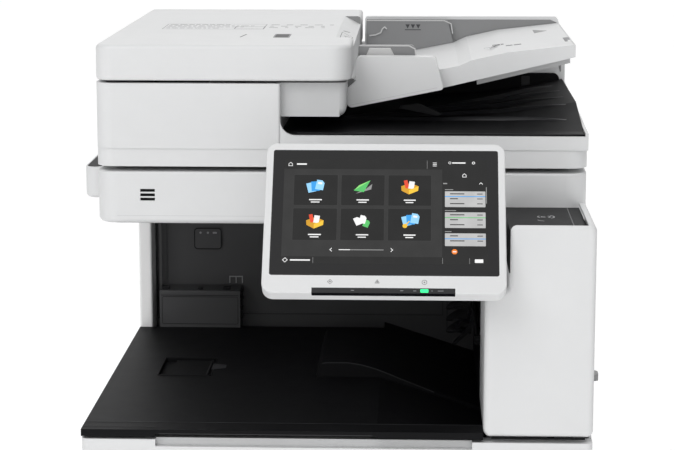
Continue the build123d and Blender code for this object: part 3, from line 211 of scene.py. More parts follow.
# Dark print, also used as painted shade in screw cross recesses and vent grooves.
DARK_PRINT_AND_SHADE = moulded("dark_print_and_painted_shade", (0.045, 0.045, 0.05), 0.50, 900.0, 0.00002, 0.05, 1.0)
STEEL = brushed("zinc_steel", (0.62, 0.63, 0.64))
RUBBER = moulded("soft_rubber", (0.020, 0.020, 0.021), 0.85, 500.0, 0.00020, 0.10, 1.0, shine_level=0.20)
DRUM = moulded("drum_coating", (0.05, 0.16, 0.22), 0.12, 400.0, 0.00001, 0.04, 0.3, 0.8)
FOAM = moulded("white_foam", (0.80, 0.80, 0.78), 0.75, 420.0, 0.00025, 0.02, 1.0)
BOARD = moulded("circuit_board", (0.02, 0.13, 0.06), 0.40, 260.0, 0.00015, 0.10, 1.0)
PLATEN = clear_glass("clear_platen", (0.62, 0.70, 0.70))
SCREEN_GLASS = moulded("screen_cover_glass", (0.0055, 0.0055, 0.0062), 0.09, 300.0, 0.000004, 0.03, 0.15,
                       shine_level=0.32)
LED_GREEN = glowing("status_green", (0.05, 0.90, 0.30), 1.3)

NODE_LOOKS = {
    "base_plate": DARK_GREY, "feet": RUBBER, "steel_frame": STEEL, "side_covers": WHITE,
    "back_cover": LIGHT_GREY,
    "hinge_pins": STEEL, "output_tray": BLACK, "cavity_back_wall": CAVITY, "rear_pillar": PILLAR_LIGHTENED_WHITE,
    "column_cover": WHITE, "column_top": SATIN_BLACK, "exit_wall": BLACK, "developer_unit": DARK_GREY,
    "laser_unit": DARK_GREY, "main_electronics": BOARD, "rear_sockets": BLACK, "scanner_housing": WHITE,
    "scanner_top_frame": LIGHT_GREY, "scanner_glass": PLATEN, "side_shelf": WHITE, "panel_arm": DARK_GREY,
    "feeder_hinge_leaves": STEEL, "front_door": WHITE, "lower_cassette_front": WHITE,
    "lower_cassette_box": LIGHT_GREY, "lower_lift_plate": STEEL, "upper_cassette_front": WHITE,
    "upper_cassette_box": LIGHT_GREY, "upper_lift_plate": STEEL, "right_door": WHITE,
    "release_lever": MID_GREY, "bypass_tray": WHITE, "bypass_extension": LIGHT_GREY, "paper_stopper": BLACK,
    "exit_fingers": SATIN_BLACK, "photo_drum": DRUM, "transfer_roller": RUBBER, "heat_roller": STEEL,
    "pressure_roller": RUBBER, "toner_bottle": DARK_GREY, "power_switch": SATIN_BLACK,
    "scan_carriage": DARK_GREY, "panel_shell": WHITE, "panel_bezel": WHITE, "screen_glass": SCREEN_GLASS,
    "status_strip": GLOSS_BLACK, "feeder_base": WHITE, "platen_pad": FOAM, "feed_unit": WHITE,
    "feeder_entry": LIGHT_GREY, "document_output": BLACK, "rear_unit": WHITE, "feeder_hinge_flaps": STEEL,
    "turn_roller": RUBBER, "pickup_roller": RUBBER, "top_cover": WHITE, "feed_tray": WHITE,
    "tray_extension": LIGHT_GREY, "front_guide": GUIDE, "rear_guide": GUIDE,
}


def dress(obj, material):
    obj.data.materials.clear()
    obj.data.materials.append(material)


for name, material in NODE_LOOKS.items():
    dress(nodes[name], material)


# ---------------------------------------------------------------- mesh helpers
def plane(origin, across, up):
    """Working plane: millimetres across, up and outwards, placed in the row frame."""
    across, up = Vector(across).normalized(), Vector(up).normalized()
    turn = Matrix((across, up, across.cross(up))).transposed().to_4x4()
    return Matrix.Translation(Vector(origin)) @ turn @ Matrix.Scale(MM, 4)


def rect(x0, x1, y0, y1, radius=0.0, steps=4):
    """Outline of a rectangle with round corners."""
    if not radius:
        return [(x0, y0), (x1, y0), (x1, y1), (x0, y1)]
    outline = []
    corners = ((x1 - radius, y0 + radius, -90), (x1 - radius, y1 - radius, 0), (x0 + radius, y1 - radius, 90),
               (x0 + radius, y0 + radius, 180))
    for cx, cy, start in corners:
        for step in range(steps + 1):
            angle = math.radians(start + 90 * step / steps)
            outline.append((cx + radius * math.cos(angle), cy + radius * math.sin(angle)))
    return outline


def arc(cx, cy, radius, start=0, end=360, steps=28):
    """Points on a circle, in degrees."""
    count = steps + (end - start < 360)  # a full circle doesn't repeat its first point
    angles = [math.radians(start + (end - start) * step / steps) for step in range(count)]
    return [(cx + radius * math.cos(a), cy + radius * math.sin(a)) for a in angles]


def raised(bm, place, outline, low, high, bevel=0.0):
    """Outline raised from one height to another, with a bevelled upper edge."""
    base = [bm.verts.new(place @ Vector((x, y, low))) for x, y in outline]
    top = [bm.verts.new(place @ Vector((x, y, high))) for x, y in outline]
    count = len(outline)
    for i in range(count):
        after = (i + 1) % count
        bm.faces.new((base[i], base[after], top[after], top[i]))
    lid = bm.faces.new(top)
    bm.faces.new(list(reversed(base)))
    if bevel:
        bmesh.ops.bevel(bm, geom=list(lid.edges), offset=bevel * MM, segments=2, affect="EDGES", profile=0.6)


def stroke(bm, place, points, width, low, high, closed=False):
    """Raised line of one width along a path."""
    count = len(points)
    left, right = [], []
    for i, (x, y) in enumerate(points):
        before = points[i - 1] if i or closed else points[0]
        after = points[(i + 1) % count] if i < count - 1 or closed else points[-1]
        ahead = Vector((after[0] - x, after[1] - y))
        run = Vector((x - before[0], y - before[1])).normalized() + ahead.normalized()
        run.normalize()
        step = ahead if (after[0], after[1]) != (x, y) else run
        lean = max(0.4, abs(run.dot(step.normalized())))
        side = Vector((-run.y, run.x)) * width / 2 / lean
        left.append((x + side.x, y + side.y))
        right.append((x - side.x, y - side.y))
    rings = []
    for l, r in zip(left, right):
        corners = ((*r, low), (*r, high), (*l, high), (*l, low))
        rings.append([bm.verts.new(place @ Vector(c)) for c in corners])
    for i in range(count if closed else count - 1):
        a, b = rings[i], rings[(i + 1) % count]
        for j in range(4):
            bm.faces.new((a[j], b[j], b[(j + 1) % 4], a[(j + 1) % 4]))
    if not closed:
        bm.faces.new(rings[0])
        bm.faces.new(list(reversed(rings[-1])))


def piece(name, bm, material, body):
    """Finished mesh as a named piece that rides on a body."""
    bmesh.ops.recalc_face_normals(bm, faces=bm.faces[:])
    mesh = bpy.data.meshes.new(name)
    bm.to_mesh(mesh)
    bm.free()
    obj = bpy.data.objects.new(name, mesh)
    bpy.context.scene.collection.objects.link(obj)
    mesh.materials.append(material)
    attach(obj, body)
    return obj


def sheet_of(name, place, shapes, material, body, low=0.0, high=0.12, bevel=0.0):
    """One piece made of several raised outlines and lines on one plane."""
    bm = bmesh.new()
    for shape in shapes:
        if isinstance(shape, tuple):
            points, width, closed = shape
            stroke(bm, place, points, width, low, high, closed)
        else:
            raised(bm, place, shape, low, high, bevel)
    return piece(name, bm, material, body)


# ---------------------------------------------------------------- touch screen picture
UP = Vector((0, 0.6032, 0.7976))
GLASS_THICK = 2.5 * MM
GLASS_LOW = 13.5 * MM  # glass below the picture's bottom line
PICTURE = (221.3, 127.7)
screen_middle = (SCREEN[0][0] + SCREEN[1][0]) / 2
screen_origin = Vector((screen_middle, SCREEN[0][1], SCREEN[0][2] + GLASS_THICK * UP.y)) + UP * GLASS_LOW
SCREEN_PLANE = plane(screen_origin - Vector((PICTURE[0] / 2 * MM, 0, 0)), (1, 0, 0), UP)
UI_DARK = glowing("picture_dark", (0.039, 0.039, 0.039), 0.85)
UI_EDGE = glowing("picture_edge", (0.026, 0.026, 0.026), 0.8)
UI_TILE = glowing("picture_tile", (0.022, 0.022, 0.022), 0.85)
UI_TILE_LOW = glowing("picture_tile_low", (0.052, 0.052, 0.052), 0.85)
UI_CARD = glowing("picture_card", (0.50, 0.50, 0.50), 0.9)
UI_WHITE = glowing("picture_white", (0.82, 0.82, 0.82), 1.0)
UI_GREY = glowing("picture_grey", (0.30, 0.30, 0.30), 0.9)
UI_BLUE = glowing("picture_blue", (0.05, 0.33, 0.75), 1.0)
UI_GREEN = glowing("picture_green", (0.10, 0.50, 0.14), 1.0)
UI_YELLOW = glowing("picture_yellow", (0.85, 0.52, 0.05), 1.0)
UI_ORANGE = glowing("picture_orange", (0.85, 0.22, 0.03), 1.0)
UI_PALE_BLUE = glowing("picture_pale_blue", (0.30, 0.62, 0.90), 1.0)
UI_AMBER = glowing("picture_amber", (0.62, 0.32, 0.03), 1.0)
UI_RED = glowing("picture_red", (0.75, 0.08, 0.04), 1.0)
TILE_COLUMNS = ((11.1, 59.0), (62.7, 110.1), (114.0, 160.9))
TILE_ROWS = ((70.6, 108.3), (28.2, 67.0))
CARDS = ((69.5, 88.7), (44.1, 63.1), (22.3, 37.6))
CARD_LEFT, CARD_RIGHT = 175.6, 219.4
HEADER_LOW, FOOTER_HIGH = 115.5, 8.9
ICON_RISE = 23.0  # an icon's middle above its tile's lower edge


def on_screen(name, shapes, material, high, low=0.02):
    return sheet_of("screen_" + name, SCREEN_PLANE, shapes, material, "control_panel", low,
                    high)


def page(x, y, size=1.0):
    """Sheet of paper with a cut corner."""
    w, h, c = 7.0 * size, 9.4 * size, 2.2 * size
    return [(x, y), (x + w, y), (x + w, y + h - c), (x + w - c, y + h), (x, y + h)]


def house(x, y, size):
    """House outline, for the way back to the first page."""
    s = size
    return [(x - s, y - s), (x + s, y - s), (x + s, y + 0.2 * s), (x, y + s * 1.15), (x - s, y + 0.2 * s)]


def make_picture():
    w, h = PICTURE
    on_screen("back", [rect(0, w, 0, h)], UI_DARK, 0.06)
    bars = [rect(0, w, HEADER_LOW, h), rect(0, w, 0, FOOTER_HIGH), rect(172.6, w, FOOTER_HIGH, HEADER_LOW)]
    on_screen("bars", bars, UI_EDGE, 0.08, 0.05)
    tiles = [rect(x0, x1, z0, z1, 1.0) for x0, x1 in TILE_COLUMNS for z0, z1 in TILE_ROWS]
    on_screen("tiles", tiles, UI_TILE, 0.10, 0.05)
    rims = [(rect(x0, x1, z0, z1, 1.0), 0.35, True) for x0, x1 in TILE_COLUMNS for z0, z1 in TILE_ROWS]
    on_screen("tile_rims", rims, UI_TILE_LOW, 0.12, 0.09)
    cards = [rect(CARD_LEFT, CARD_RIGHT, z0, z1, 0.6) for z0, z1 in CARDS]
    on_screen("cards", cards, UI_CARD, 0.11, 0.07)


def make_picture_marks():
    """Icons, and plain bars where the real screen has words."""
    white = [rect(13.5, 24.4, 120.6, 122.3), rect(183.5, 198.0, 123.1, 124.6), rect(9.6, 31.1, 3.6, 5.2)]
    white += [(house(6.7, 121.3, 2.0), 0.6, True), (house(196.8, 108.3, 1.9), 0.6, True)]
    for row in (119.6, 121.5, 123.4):
        white.append(rect(162.4, 166.6, row, row + 0.7))
    white.append((arc(180.9, 123.9, 1.3), 0.5, True))
    white.append((arc(206.8, 123.9, 1.3), 0.7, True))
    white.append(([(212.8, 97.6), (214.7, 99.4), (216.6, 97.6)], 0.7, False))
    white.append(rect(207.5, 216.5, 2.4, 6.6, 0.6))
    white.append(([(4.2, 7.0), (6.8, 4.4), (4.2, 1.8), (1.6, 4.4)], 0.6, True))
    white.append(([(54.2, 19.0), (52.2, 17.0), (54.2, 15.0)], 0.7, False))
    white.append(([(117.6, 19.0), (119.6, 17.0), (117.6, 15.0)], 0.7, False))
    white.append(rect(61.7, 73.8, 16.6, 17.5))
    for (x0, x1), (z0, z1) in [(c, r) for c in TILE_COLUMNS for r in TILE_ROWS]:
        white.append(rect(x0 + 17.0, x1 - 17.0, z0 + 6.2, z0 + 7.6))
        white.append(rect(x0 + 19.0, x1 - 19.5, z0 + 3.4, z0 + 4.6))
    on_screen("white_marks", white, UI_WHITE, 0.16, 0.09)
    grey = [rect(156.0, 156.35, HEADER_LOW + 1, PICTURE[1] - 1), rect(34.0, 34.35, 1, FOOTER_HIGH - 1)]
    grey += [rect(172.9, 173.25, 1, FOOTER_HIGH - 1), rect(201.8, 202.15, 1, FOOTER_HIGH - 1)]
    grey += [rect(73.8, 109.8, 16.6, 17.5), rect(220.1, 220.9, 73.9, 94.0, 0.35)]
    grey += [rect(173.6, 178.0, 97.6, 99.0), rect(CARD_LEFT, CARD_LEFT + 9, 90.3, 91.2)]
    grey += [rect(CARD_LEFT, CARD_LEFT + 12, 64.7, 65.6), rect(CARD_LEFT, CARD_LEFT + 7, 39.2, 40.1)]
    on_screen("grey_marks", grey, UI_GREY, 0.14, 0.09)
    dark = []
    for z0, z1 in CARDS:
        rows = int((z1 - z0) / 6.2)
        for row in range(rows):
            z = z1 - 3.6 - row * 6.0
            dark.append(rect(CARD_LEFT + 5.5, CARD_LEFT + 14 + 7 * ((row + rows) % 2), z, z + 1.1))
            dark.append(rect(CARD_RIGHT - 9, CARD_RIGHT - 3, z, z + 0.9))
    on_screen("card_words", dark, UI_TILE, 0.15, 0.10)
    blue = [rect(CARD_LEFT, CARD_RIGHT, 81.9, 82.8), rect(CARD_LEFT, CARD_RIGHT, 30.6, 31.4)]
    on_screen("card_line_blue", blue, UI_BLUE, 0.16, 0.10)
    on_screen("card_line_green", [rect(CARD_LEFT, CARD_RIGHT, 56.2, 57.0)], UI_GREEN, 0.16, 0.10)
    stop = [arc(185.9, 15.5, 3.2, 22.5, 382.5, 8)]
    on_screen("stop_icon", stop, UI_ORANGE, 0.14, 0.09)
    on_screen("stop_bar", [rect(184.0, 187.8, 14.9, 16.1)], UI_WHITE, 0.17, 0.13)


def turned(outline, x, y, degrees):
    """Outline turned about a point."""
    c, s = math.cos(math.radians(degrees)), math.sin(math.radians(degrees))
    return [(x + (px - x) * c - (py - y) * s, y + (px - x) * s + (py - y) * c) for px, py in outline]


def leaf(x, y, degrees, size=1.0):
    """Sheet of paper with its middle at a place, turned."""
    return turned(page(x - 3.5 * size, y - 4.7 * size, size), x, y, degrees)


def crate(x, y):
    """Open box seen from above its corner: lit face, shaded face and rim."""
    left = [(x - 9.5, y + 1.0), (x - 1.0, y - 3.5), (x - 1.0, y - 9.0), (x - 9.0, y - 4.5)]
    right = [(x - 1.0, y - 3.5), (x + 9.5, y + 1.0), (x + 9.0, y - 4.5), (x - 1.0, y - 9.0)]
    rim = [(x - 9.5, y + 1.0), (x + 0.5, y + 5.0), (x + 9.5, y + 1.0), (x - 1.0, y - 3.5)]
    return left, right, rim


def make_tile_icons():
    centres = [((x0 + x1) / 2, row[0] + ICON_RISE) for row in TILE_ROWS for x0, x1 in TILE_COLUMNS]
    (ax, az), (bx, bz), (cx, cz), (dx, dz), (ex, ez), (fx, fz) = centres
    back, middle, front, shaded, blue, red = [], [], [], [], [], []
    stacks = ((ax, az), (fx + 1.5, fz + 2.0))
    for x, z in stacks:
        back += [leaf(x - 5.0, z - 1.0, 14, 1.25)]
        blue += [leaf(x - 0.5, z + 0.5, 4, 1.25)]
        middle += [leaf(x + 4.5, z + 2.0, -10, 1.25)]
    on_screen("icon_sheets_back", back, UI_PALE_BLUE, 0.12, 0.09)
    on_screen("icon_sheets_blue", blue, UI_BLUE, 0.14, 0.10)
    on_screen("icon_sheets_front", middle, UI_PALE_BLUE, 0.16, 0.12)
    headings = [turned(rect(x + 2.0, x + 6.5, z + 3.0, z + 5.5), x + 4.5, z + 2.0, -10) for x, z in stacks]
    on_screen("icon_headings", headings, UI_WHITE, 0.18, 0.14)
    swoosh = [[(bx - 8.0, bz - 8.5), (bx + 9.0, bz - 3.0), (bx + 10.0, bz + 3.5), (bx + 4.0, bz - 2.0),
               (bx - 3.0, bz - 5.5)]]
    on_screen("icon_swoosh", swoosh, UI_GREY, 0.12, 0.09)
    plane_low = [(bx - 10.0, bz - 4.5), (bx + 8.0, bz + 8.0), (bx + 1.0, bz - 6.5)]
    on_screen("icon_plane_dark", [plane_low, leaf(ex + 4.5, ez - 2.5, -22, 0.9)], UI_GREEN, 0.14, 0.10)
    plane_high = [(bx - 10.0, bz - 4.5), (bx + 8.0, bz + 8.0), (bx - 4.0, bz + 2.0)]
    on_screen("icon_plane_light", [plane_high], glowing("picture_leaf", (0.28, 0.72, 0.20), 1.0), 0.16, 0.12)
    lit = []
    crates = ((cx, cz), (dx, dz))
    for x, z in crates:
        left, right, rim = crate(x, z)
        lit.append(right)
        shaded.append(left)
        front.append(rim)
        red.append(turned(rect(x - 5.0, x - 1.0, z - 1.5, z + 8.5), x - 3.0, z, 12))
    sheets = [turned(rect(x - 1.5, x + 4.5, z - 2.0, z + 7.0), x + 1.5, z, -8) for x, z in crates]
    sheets += [leaf(ex - 5.0, ez + 0.5, 24, 1.0), leaf(ex + 0.5, ez + 2.5, -14, 1.0)]
    on_screen("icon_crate_rim", front, UI_AMBER, 0.12, 0.09)
    on_screen("icon_crate_red", red, UI_RED, 0.14, 0.10)
    on_screen("icon_crate_sheets", sheets, UI_WHITE, 0.16, 0.10)
    on_screen("icon_crate_left", shaded, UI_AMBER, 0.18, 0.12)
    on_screen("icon_crate_right", lit, UI_YELLOW, 0.18, 0.12)
    tag = [arc(fx - 5.0, fz - 5.0, 2.6, 0, 360, 14),
           turned(rect(fx - 5.6, fx - 4.4, fz - 5.0, fz + 2.5), fx - 5.0, fz - 5.0, -40)]
    on_screen("icon_tag", tag, UI_YELLOW, 0.20, 0.12)


make_picture()
make_picture_marks()
make_tile_icons()

# ---------------------------------------------------------------- panel's chin and status strip
STRIP = (26.5, 179.5)  # left and right of the status strip, from the picture's left side
STRIP_MIDDLE = -31.1
CHIN_MIDDLE = -21.0


def strip_x(across):
    """Place along the strip, from 0 at its left to 1 at its right."""
    return STRIP[0] + (STRIP[1] - STRIP[0]) * across


def make_chin():
    marks = []
    for across, kind in ((53.2, 4), (103.5, 3), (153.8, 20)):
        marks.append((arc(across, CHIN_MIDDLE, 2.6, 90, 450, kind), 0.45, True))
        marks.append(arc(across, CHIN_MIDDLE, 0.8, 90, 450, 8))
    sheet_of("chin_icons", SCREEN_PLANE, marks, DARK_PRINT_AND_SHADE, "control_panel", -0.02,
             0.06)
    dashes = [rect(strip_x(a) - w, strip_x(a) + w, STRIP_MIDDLE - 0.35, STRIP_MIDDLE + 0.35)
              for a, w in ((0.332, 1.7), (0.675, 1.7), (0.765, 1.7), (0.885, 0.8), (0.945, 3.0))]
    sheet_of("strip_marks", SCREEN_PLANE, dashes, GREY_PRINT_AND_SHADE, "control_panel", -0.02,
             0.08)
    lamp = [rect(strip_x(0.832) - 4.3, strip_x(0.832) + 4.3, STRIP_MIDDLE - 2.0, STRIP_MIDDLE + 2.0, 0.8)]
    sheet_of("status_lamp", SCREEN_PLANE, lamp, LED_GREEN, "control_panel", -0.02, 0.25, 0.1)


make_chin()

# ---------------------------------------------------------------- feeder: top cover, feed tray and guides
def level(height):
    """Horizontal working plane: across is X and up is the depth behind the front plane."""
    return plane((0, FRONT_Y, height), (1, 0, 0), (0, 1, 0))


def facing_user(y):
    """Working plane that faces the user: across is X and up is Z."""
    return plane((0, y, 0), (1, 0, 0), (0, 0, 1))


def upright(depth):
    """The same plane, so many millimetres behind the front plane."""
    return facing_user(deep(depth))


def facing_right(x):
    """Working plane that faces +X: across is the depth behind the front plane and up is Z."""
    return plane((x * MM, FRONT_Y, 0), (0, 1, 0), (0, 0, 1))


def facing_back(y):
    """Working plane that faces away from the user: across is -X and up is Z."""
    return plane((0, y, 0), (-1, 0, 0), (0, 0, 1))


def word_bars(x0, x1, y, height, gap, seed):
    """Row of plain bars of uneven length, where a real label has words."""
    chance = random.Random(seed)
    bars = []
    x = x0
    while x < x1 - 3:
        end = min(x1, x + chance.uniform(3.0, 11.0))
        bars.append(rect(x, end, y, y + height))
        x = end + gap
    return bars


def make_cover_details():
    top = level(COVER[1].z)
    window = [rect(-84.0, -64.5, 245, 292, 1.5)]
    sheet_of("cover_window", top, window, GREY_PRINT_AND_SHADE, "top_cover", -0.3, 0.15, 0.1)
    sheet_of("cover_window_pane", top, [rect(-82.0, -66.5, 248, 289, 1.0)], DARK_GREY, "top_cover",
             0.0, 0.25)
    sheet_of("cover_dash", top, [([(-123.0, 250.0), (-118.5, 287.0)], 1.6, False)], DARK_PRINT_AND_SHADE, "top_cover",
             -0.1, 0.12)
    bars = []
    for row, (x0, x1) in enumerate(((-226, -150), (-226, -118), (-226, -130), (-226, -160))):
        bars += word_bars(x0, x1, 424 - row * 17, 4.0, 2.5, row)
    bars += [(rect(-140, -104, 366, 400), 1.2, True)]
    for row in range(3):
        bars += word_bars(-98, -18, 424 - row * 21, 5.0, 9.0, 20 + row)
    bars += [(rect(-229, -104, 360, 434), 0.8, True)]
    sheet_of("cover_label", top, bars, GREY_PRINT_AND_SHADE, "top_cover", -0.1, 0.08)
    right = COVER[1].x * IN_MM
    high = COVER[1].z * IN_MM
    run, fall = 21.0, 11.0  # the slanted finger recess in the cover's right edge
    slant = plane(((right - run) * MM, FRONT_Y, high * MM), (run, 0, -fall), (0, 1, 0))
    marks = [(rect(5.0, 19.0, 268, 350), 0.7, True),
             ([(7.0, 282.0), (16.0, 300.0), (9.0, 318.0), (16.5, 334.0)], 0.8, False)]
    marks += [([(6.0, 372.0), (14.0, 392.0)], 1.6, False)]
    sheet_of("cover_pictogram", slant, marks, DARK_PRINT_AND_SHADE, "top_cover", -0.1, 0.10)
    # Grey triangle on the white end wall of the finger recess: painted shadow.
    cheek = [(right - run, high - 0.4), (right - 0.5, high - fall + 0.2), (right - 0.5, high - 1.5),
             (right - 4.0, high - 0.3)]
    sheet_of("recess_end_painted_shadow", upright(571.0), [cheek], MID_GREY, "top_cover", -0.1, 0.6)


def make_feed_tray_details():
    run, rise = 80.7, 9.3  # the tray's upper part
    lean = math.hypot(run, rise)
    sloped = plane((0.1925, FRONT_Y, 0.8832), (run, 0, rise), (0, 1, 0))
    # Grey triangle in the white tray's triangular pocket: painted shade.
    triangle = [(43.0, 452.0), (60.0, 470.0), (43.0, 500.0)]
    sheet_of("tray_pocket_painted_shade", sloped, [triangle], MID_GREY, "feed_tray", -0.2, 0.15,
             0.1)
    marks = [([(-25.0, 330.0), (-8.0, 330.0)], 0.9, False), ([(-18.0, 318.0), (-10.0, 342.0)], 0.9, False)]
    marks += word_bars(2.0, 22.0, 326.0, 8.0, 1.6, 5) + word_bars(-14.0, 0.0, 352.0, 6.0, 1.6, 6)
    sheet_of("tray_marks", sloped, marks, DARK_PRINT_AND_SHADE, "feed_tray", -0.1, 0.10)
    # Grey patch in the tray's hook notch: painted shade of the recess.
    notch = [rect(lean - 9.0, lean - 2.0, 318, 352, 1.5), rect(lean - 9.0, lean - 5.5, 300, 322, 1.0)]
    sheet_of("tray_notch_painted_shade", sloped, notch, GREY_PRINT_AND_SHADE, "feed_tray", -0.3, 0.12, 0.08)
    sheet_of("tray_end_rim", sloped, [rect(lean - 1.8, lean - 0.4, 256, 556, 0.6)], WHITE, "feed_tray",
             -0.3, 0.7, 0.3)
    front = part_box("feed_tray")[0].y
    face = facing_user(front)
    seam = [([(14.0, 858.0), (13.5, 850.0), (5.8, 842.0), (5.8, 822.0), (110.0, 843.5)], 0.5, False)]
    sheet_of("tray_front_seam", face, seam, LIGHT_GREY, "feed_tray", -0.2, 0.25)


def make_guide_details():
    low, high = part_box("rear_guide")
    face = facing_user(low.y)
    top = high.z * IN_MM
    left, right = low.x * IN_MM, high.x * IN_MM
    rim = [([(left + 1.0, top - 1.0), (right - 12.0, top - 1.0), (right - 3.0, top - 5.0),
             (right - 1.0, top - 18.0)], 1.3, False)]
    sheet_of("rear_guide_rim", face, rim, RIM_WHITE, "rear_guide", -0.1, 0.6)
    limit = []
    middle = (left + right) / 2 + 4.0
    for step in (-7.0, 0.0, 7.0):
        limit.append([(middle + step - 2.9, top - 6.0), (middle + step, top - 11.5),
                      (middle + step + 2.9, top - 6.0)])
    limit.append(rect(middle - 10.5, middle + 10.5, top - 13.6, top - 12.6))
    sheet_of("load_limit", face, limit, DARK_PRINT_AND_SHADE, "rear_guide", -0.1, 0.12)
    wire = [(left + 4.0, top - 21.0), (left + 12.0, top - 20.0), (left + 19.0, top - 17.0),
            (left + 21.0, top - 12.0), (left + 24.0, top - 9.5), (left + 27.0, top - 12.0)]
    sheet_of("sensor_lever", face, [(wire, 1.5, False)], RIM_WHITE, "rear_guide", 0.2,
             2.0)
    low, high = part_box("front_guide")
    face = facing_user(low.y)
    top = high.z * IN_MM
    left, right = low.x * IN_MM, high.x * IN_MM
    rim = [([(left + 1.0, top - 1.0), (right - 9.0, top - 1.0), (right - 2.0, top - 4.5),
             (right - 1.0, top - 12.0)], 1.4, False)]
    sheet_of("front_guide_rim", face, rim, RIM_WHITE, "front_guide", -0.1, 0.6)
    grip = [(left + 9.0, top - 13.0), (left + 13.0, top - 3.5), (left + 38.0, top - 3.5),
            (left + 43.0, top - 13.0)]
    sheet_of("guide_grip", face, [grip], RIM_WHITE, "front_guide", -0.1, 1.6, 0.8)


OUTPUT_RISE = 18.0  # document output's flat front part above the feeder's base
SLOPE_START, SLOPE_RUN = 176.0, 130.0  # depths over which the output rises from flat


def rest_height(x, depth):
    """Height of the document output's upper face."""
    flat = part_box("feeder_base")[1].z * IN_MM + OUTPUT_RISE
    line = ((-69.5, 795.0), (110.0, 797.0), (190.0, 803.0), (279.0, 818.0))
    risen = line[-1][1]
    for (x0, z0), (x1, z1) in zip(line, line[1:]):
        if x <= x1:
            risen = z0 + (z1 - z0) * (x - x0) / (x1 - x0)
            break
    part = min(1.0, max(0.0, (depth - SLOPE_START) / SLOPE_RUN))
    return flat + (risen - flat) * part


def ridge(bm, points, width, height):
    """Low rounded ridge that follows the document output."""
    rings = []
    for i, (x, depth) in enumerate(points):
        ahead = points[min(i + 1, len(points) - 1)]
        behind = points[max(i - 1, 0)]
        run = Vector((ahead[0] - behind[0], ahead[1] - behind[1])).normalized()
        side = Vector((-run.y, run.x))
        taper = min(1.0, 0.1 + 5.0 * min(i, len(points) - 1 - i) / len(points))
        ring = []
        for across, up in ((-1.0, -0.15), (-0.55, 0.75), (0.0, 1.0), (0.55, 0.75), (1.0, -0.15)):
            px, pd = x + side.x * across * width / 2, depth + side.y * across * width / 2
            ring.append(bm.verts.new((px * MM, deep(pd), (rest_height(px, pd) + up * height * taper) * MM)))
        rings.append(ring)
    for a, b in zip(rings, rings[1:]):
        for j in range(4):
            bm.faces.new((a[j], a[j + 1], b[j + 1], b[j]))


def make_output_ribs():
    bm = bmesh.new()
    ends = (((-30, 300), (262, 228)), ((-10, 330), (266, 300)), ((20, 355), (268, 372)),
            ((60, 370), (268, 440)), ((100, 385), (262, 505)))
    for (x0, d0), (x1, d1) in ends:
        steps = 18
        points = []
        for i in range(steps + 1):
            part = i / steps
            bow = 18.0 * math.sin(math.pi * part)
            points.append((x0 + (x1 - x0) * part, d0 + (d1 - d0) * part + bow))
        ridge(bm, points, 8.0, 4.2)
    # Ribs in the lighter black: painted sheen that makes them stand out from the output.
    obj = piece("output_ribs", bm, RIB_LIT_BLACK, "document_feeder")
    for polygon in obj.data.polygons:
        polygon.use_smooth = True
    flap = [(66.0, 0.0), (112.0, -9.0), (116.0, -6.0), (90.0, 6.0), (68.0, 4.0)]
    hanging = plane((0, deep(262), 0.815), (1, 0, 0), (0, 0, 1))
    sheet_of("stack_flap", hanging, [flap], SATIN_BLACK, "document_feeder", 0.0, 5.0, 0.6)
    edge = [rect(-50, 262, 150.6, 152.2, 0.4)]
    sheet_of("output_front_line", level(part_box("feeder_base")[1].z + OUTPUT_RISE * MM), edge, DARK_GREY,
             "document_feeder", -0.2, 0.3)


def make_rear_wall_details():
    face = upright(565.0)
    # Grey sheet over the white rear wall's front face, inside its white rim: painted shade.
    lining = [(19.5, 861.0), (19.5, 896.5), (262.0, 896.5), (270.0, 893.0), (277.5, 866.0), (277.5, 828.0),
              (276.0, 827.5), (268.0, 861.0)]
    sheet_of("rear_wall_painted_shade", face, [lining], MID_GREY, "document_feeder", -0.2, 0.5, 0.3)
    strip = [rect(225.0, 236.0, 800.0, 822.0, 1.0)]
    sheet_of("rear_strip", upright(561.0), strip, DARK_GREY, "document_feeder", -0.2,
             0.5, 0.2)


make_cover_details()
make_feed_tray_details()
make_guide_details()
make_output_ribs()
make_rear_wall_details()


# ---------------------------------------------------------------- scanner, shelf and column
def make_scanner_details():
    face = facing_user(SCANNER[0].y)
    base = SCANNER[0].z * IN_MM
    # Black plate just behind the slot openings: painted shade inside the slots.
    slots = [rect(-231.2, -214.7, base + z + 0.2, base + z + 3.2) for z in (27.0, 32.0, 37.2)]
    sheet_of("speaker_slot_painted_shade", face, slots, BLACK, "machine", -2.9, -0.35)
    low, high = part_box("side_shelf")
    x0, x1 = low.x * IN_MM + 2.2, high.x * IN_MM
    shelf = rect(x0, x1 - 0.5, 203.0, 597.0, 10.0)
    sheet_of("shelf_top", level(high.z), [shelf], BLACK, "machine", -0.3, 0.4, 0.2)
    seam = [([(-HALF * IN_MM + 24, base + 9.5), (HALF * IN_MM - 24, base + 9.5)], 0.5, False)]
    sheet_of("scanner_seam", face, seam, LIGHT_GREY, "machine", -0.2, 0.05)


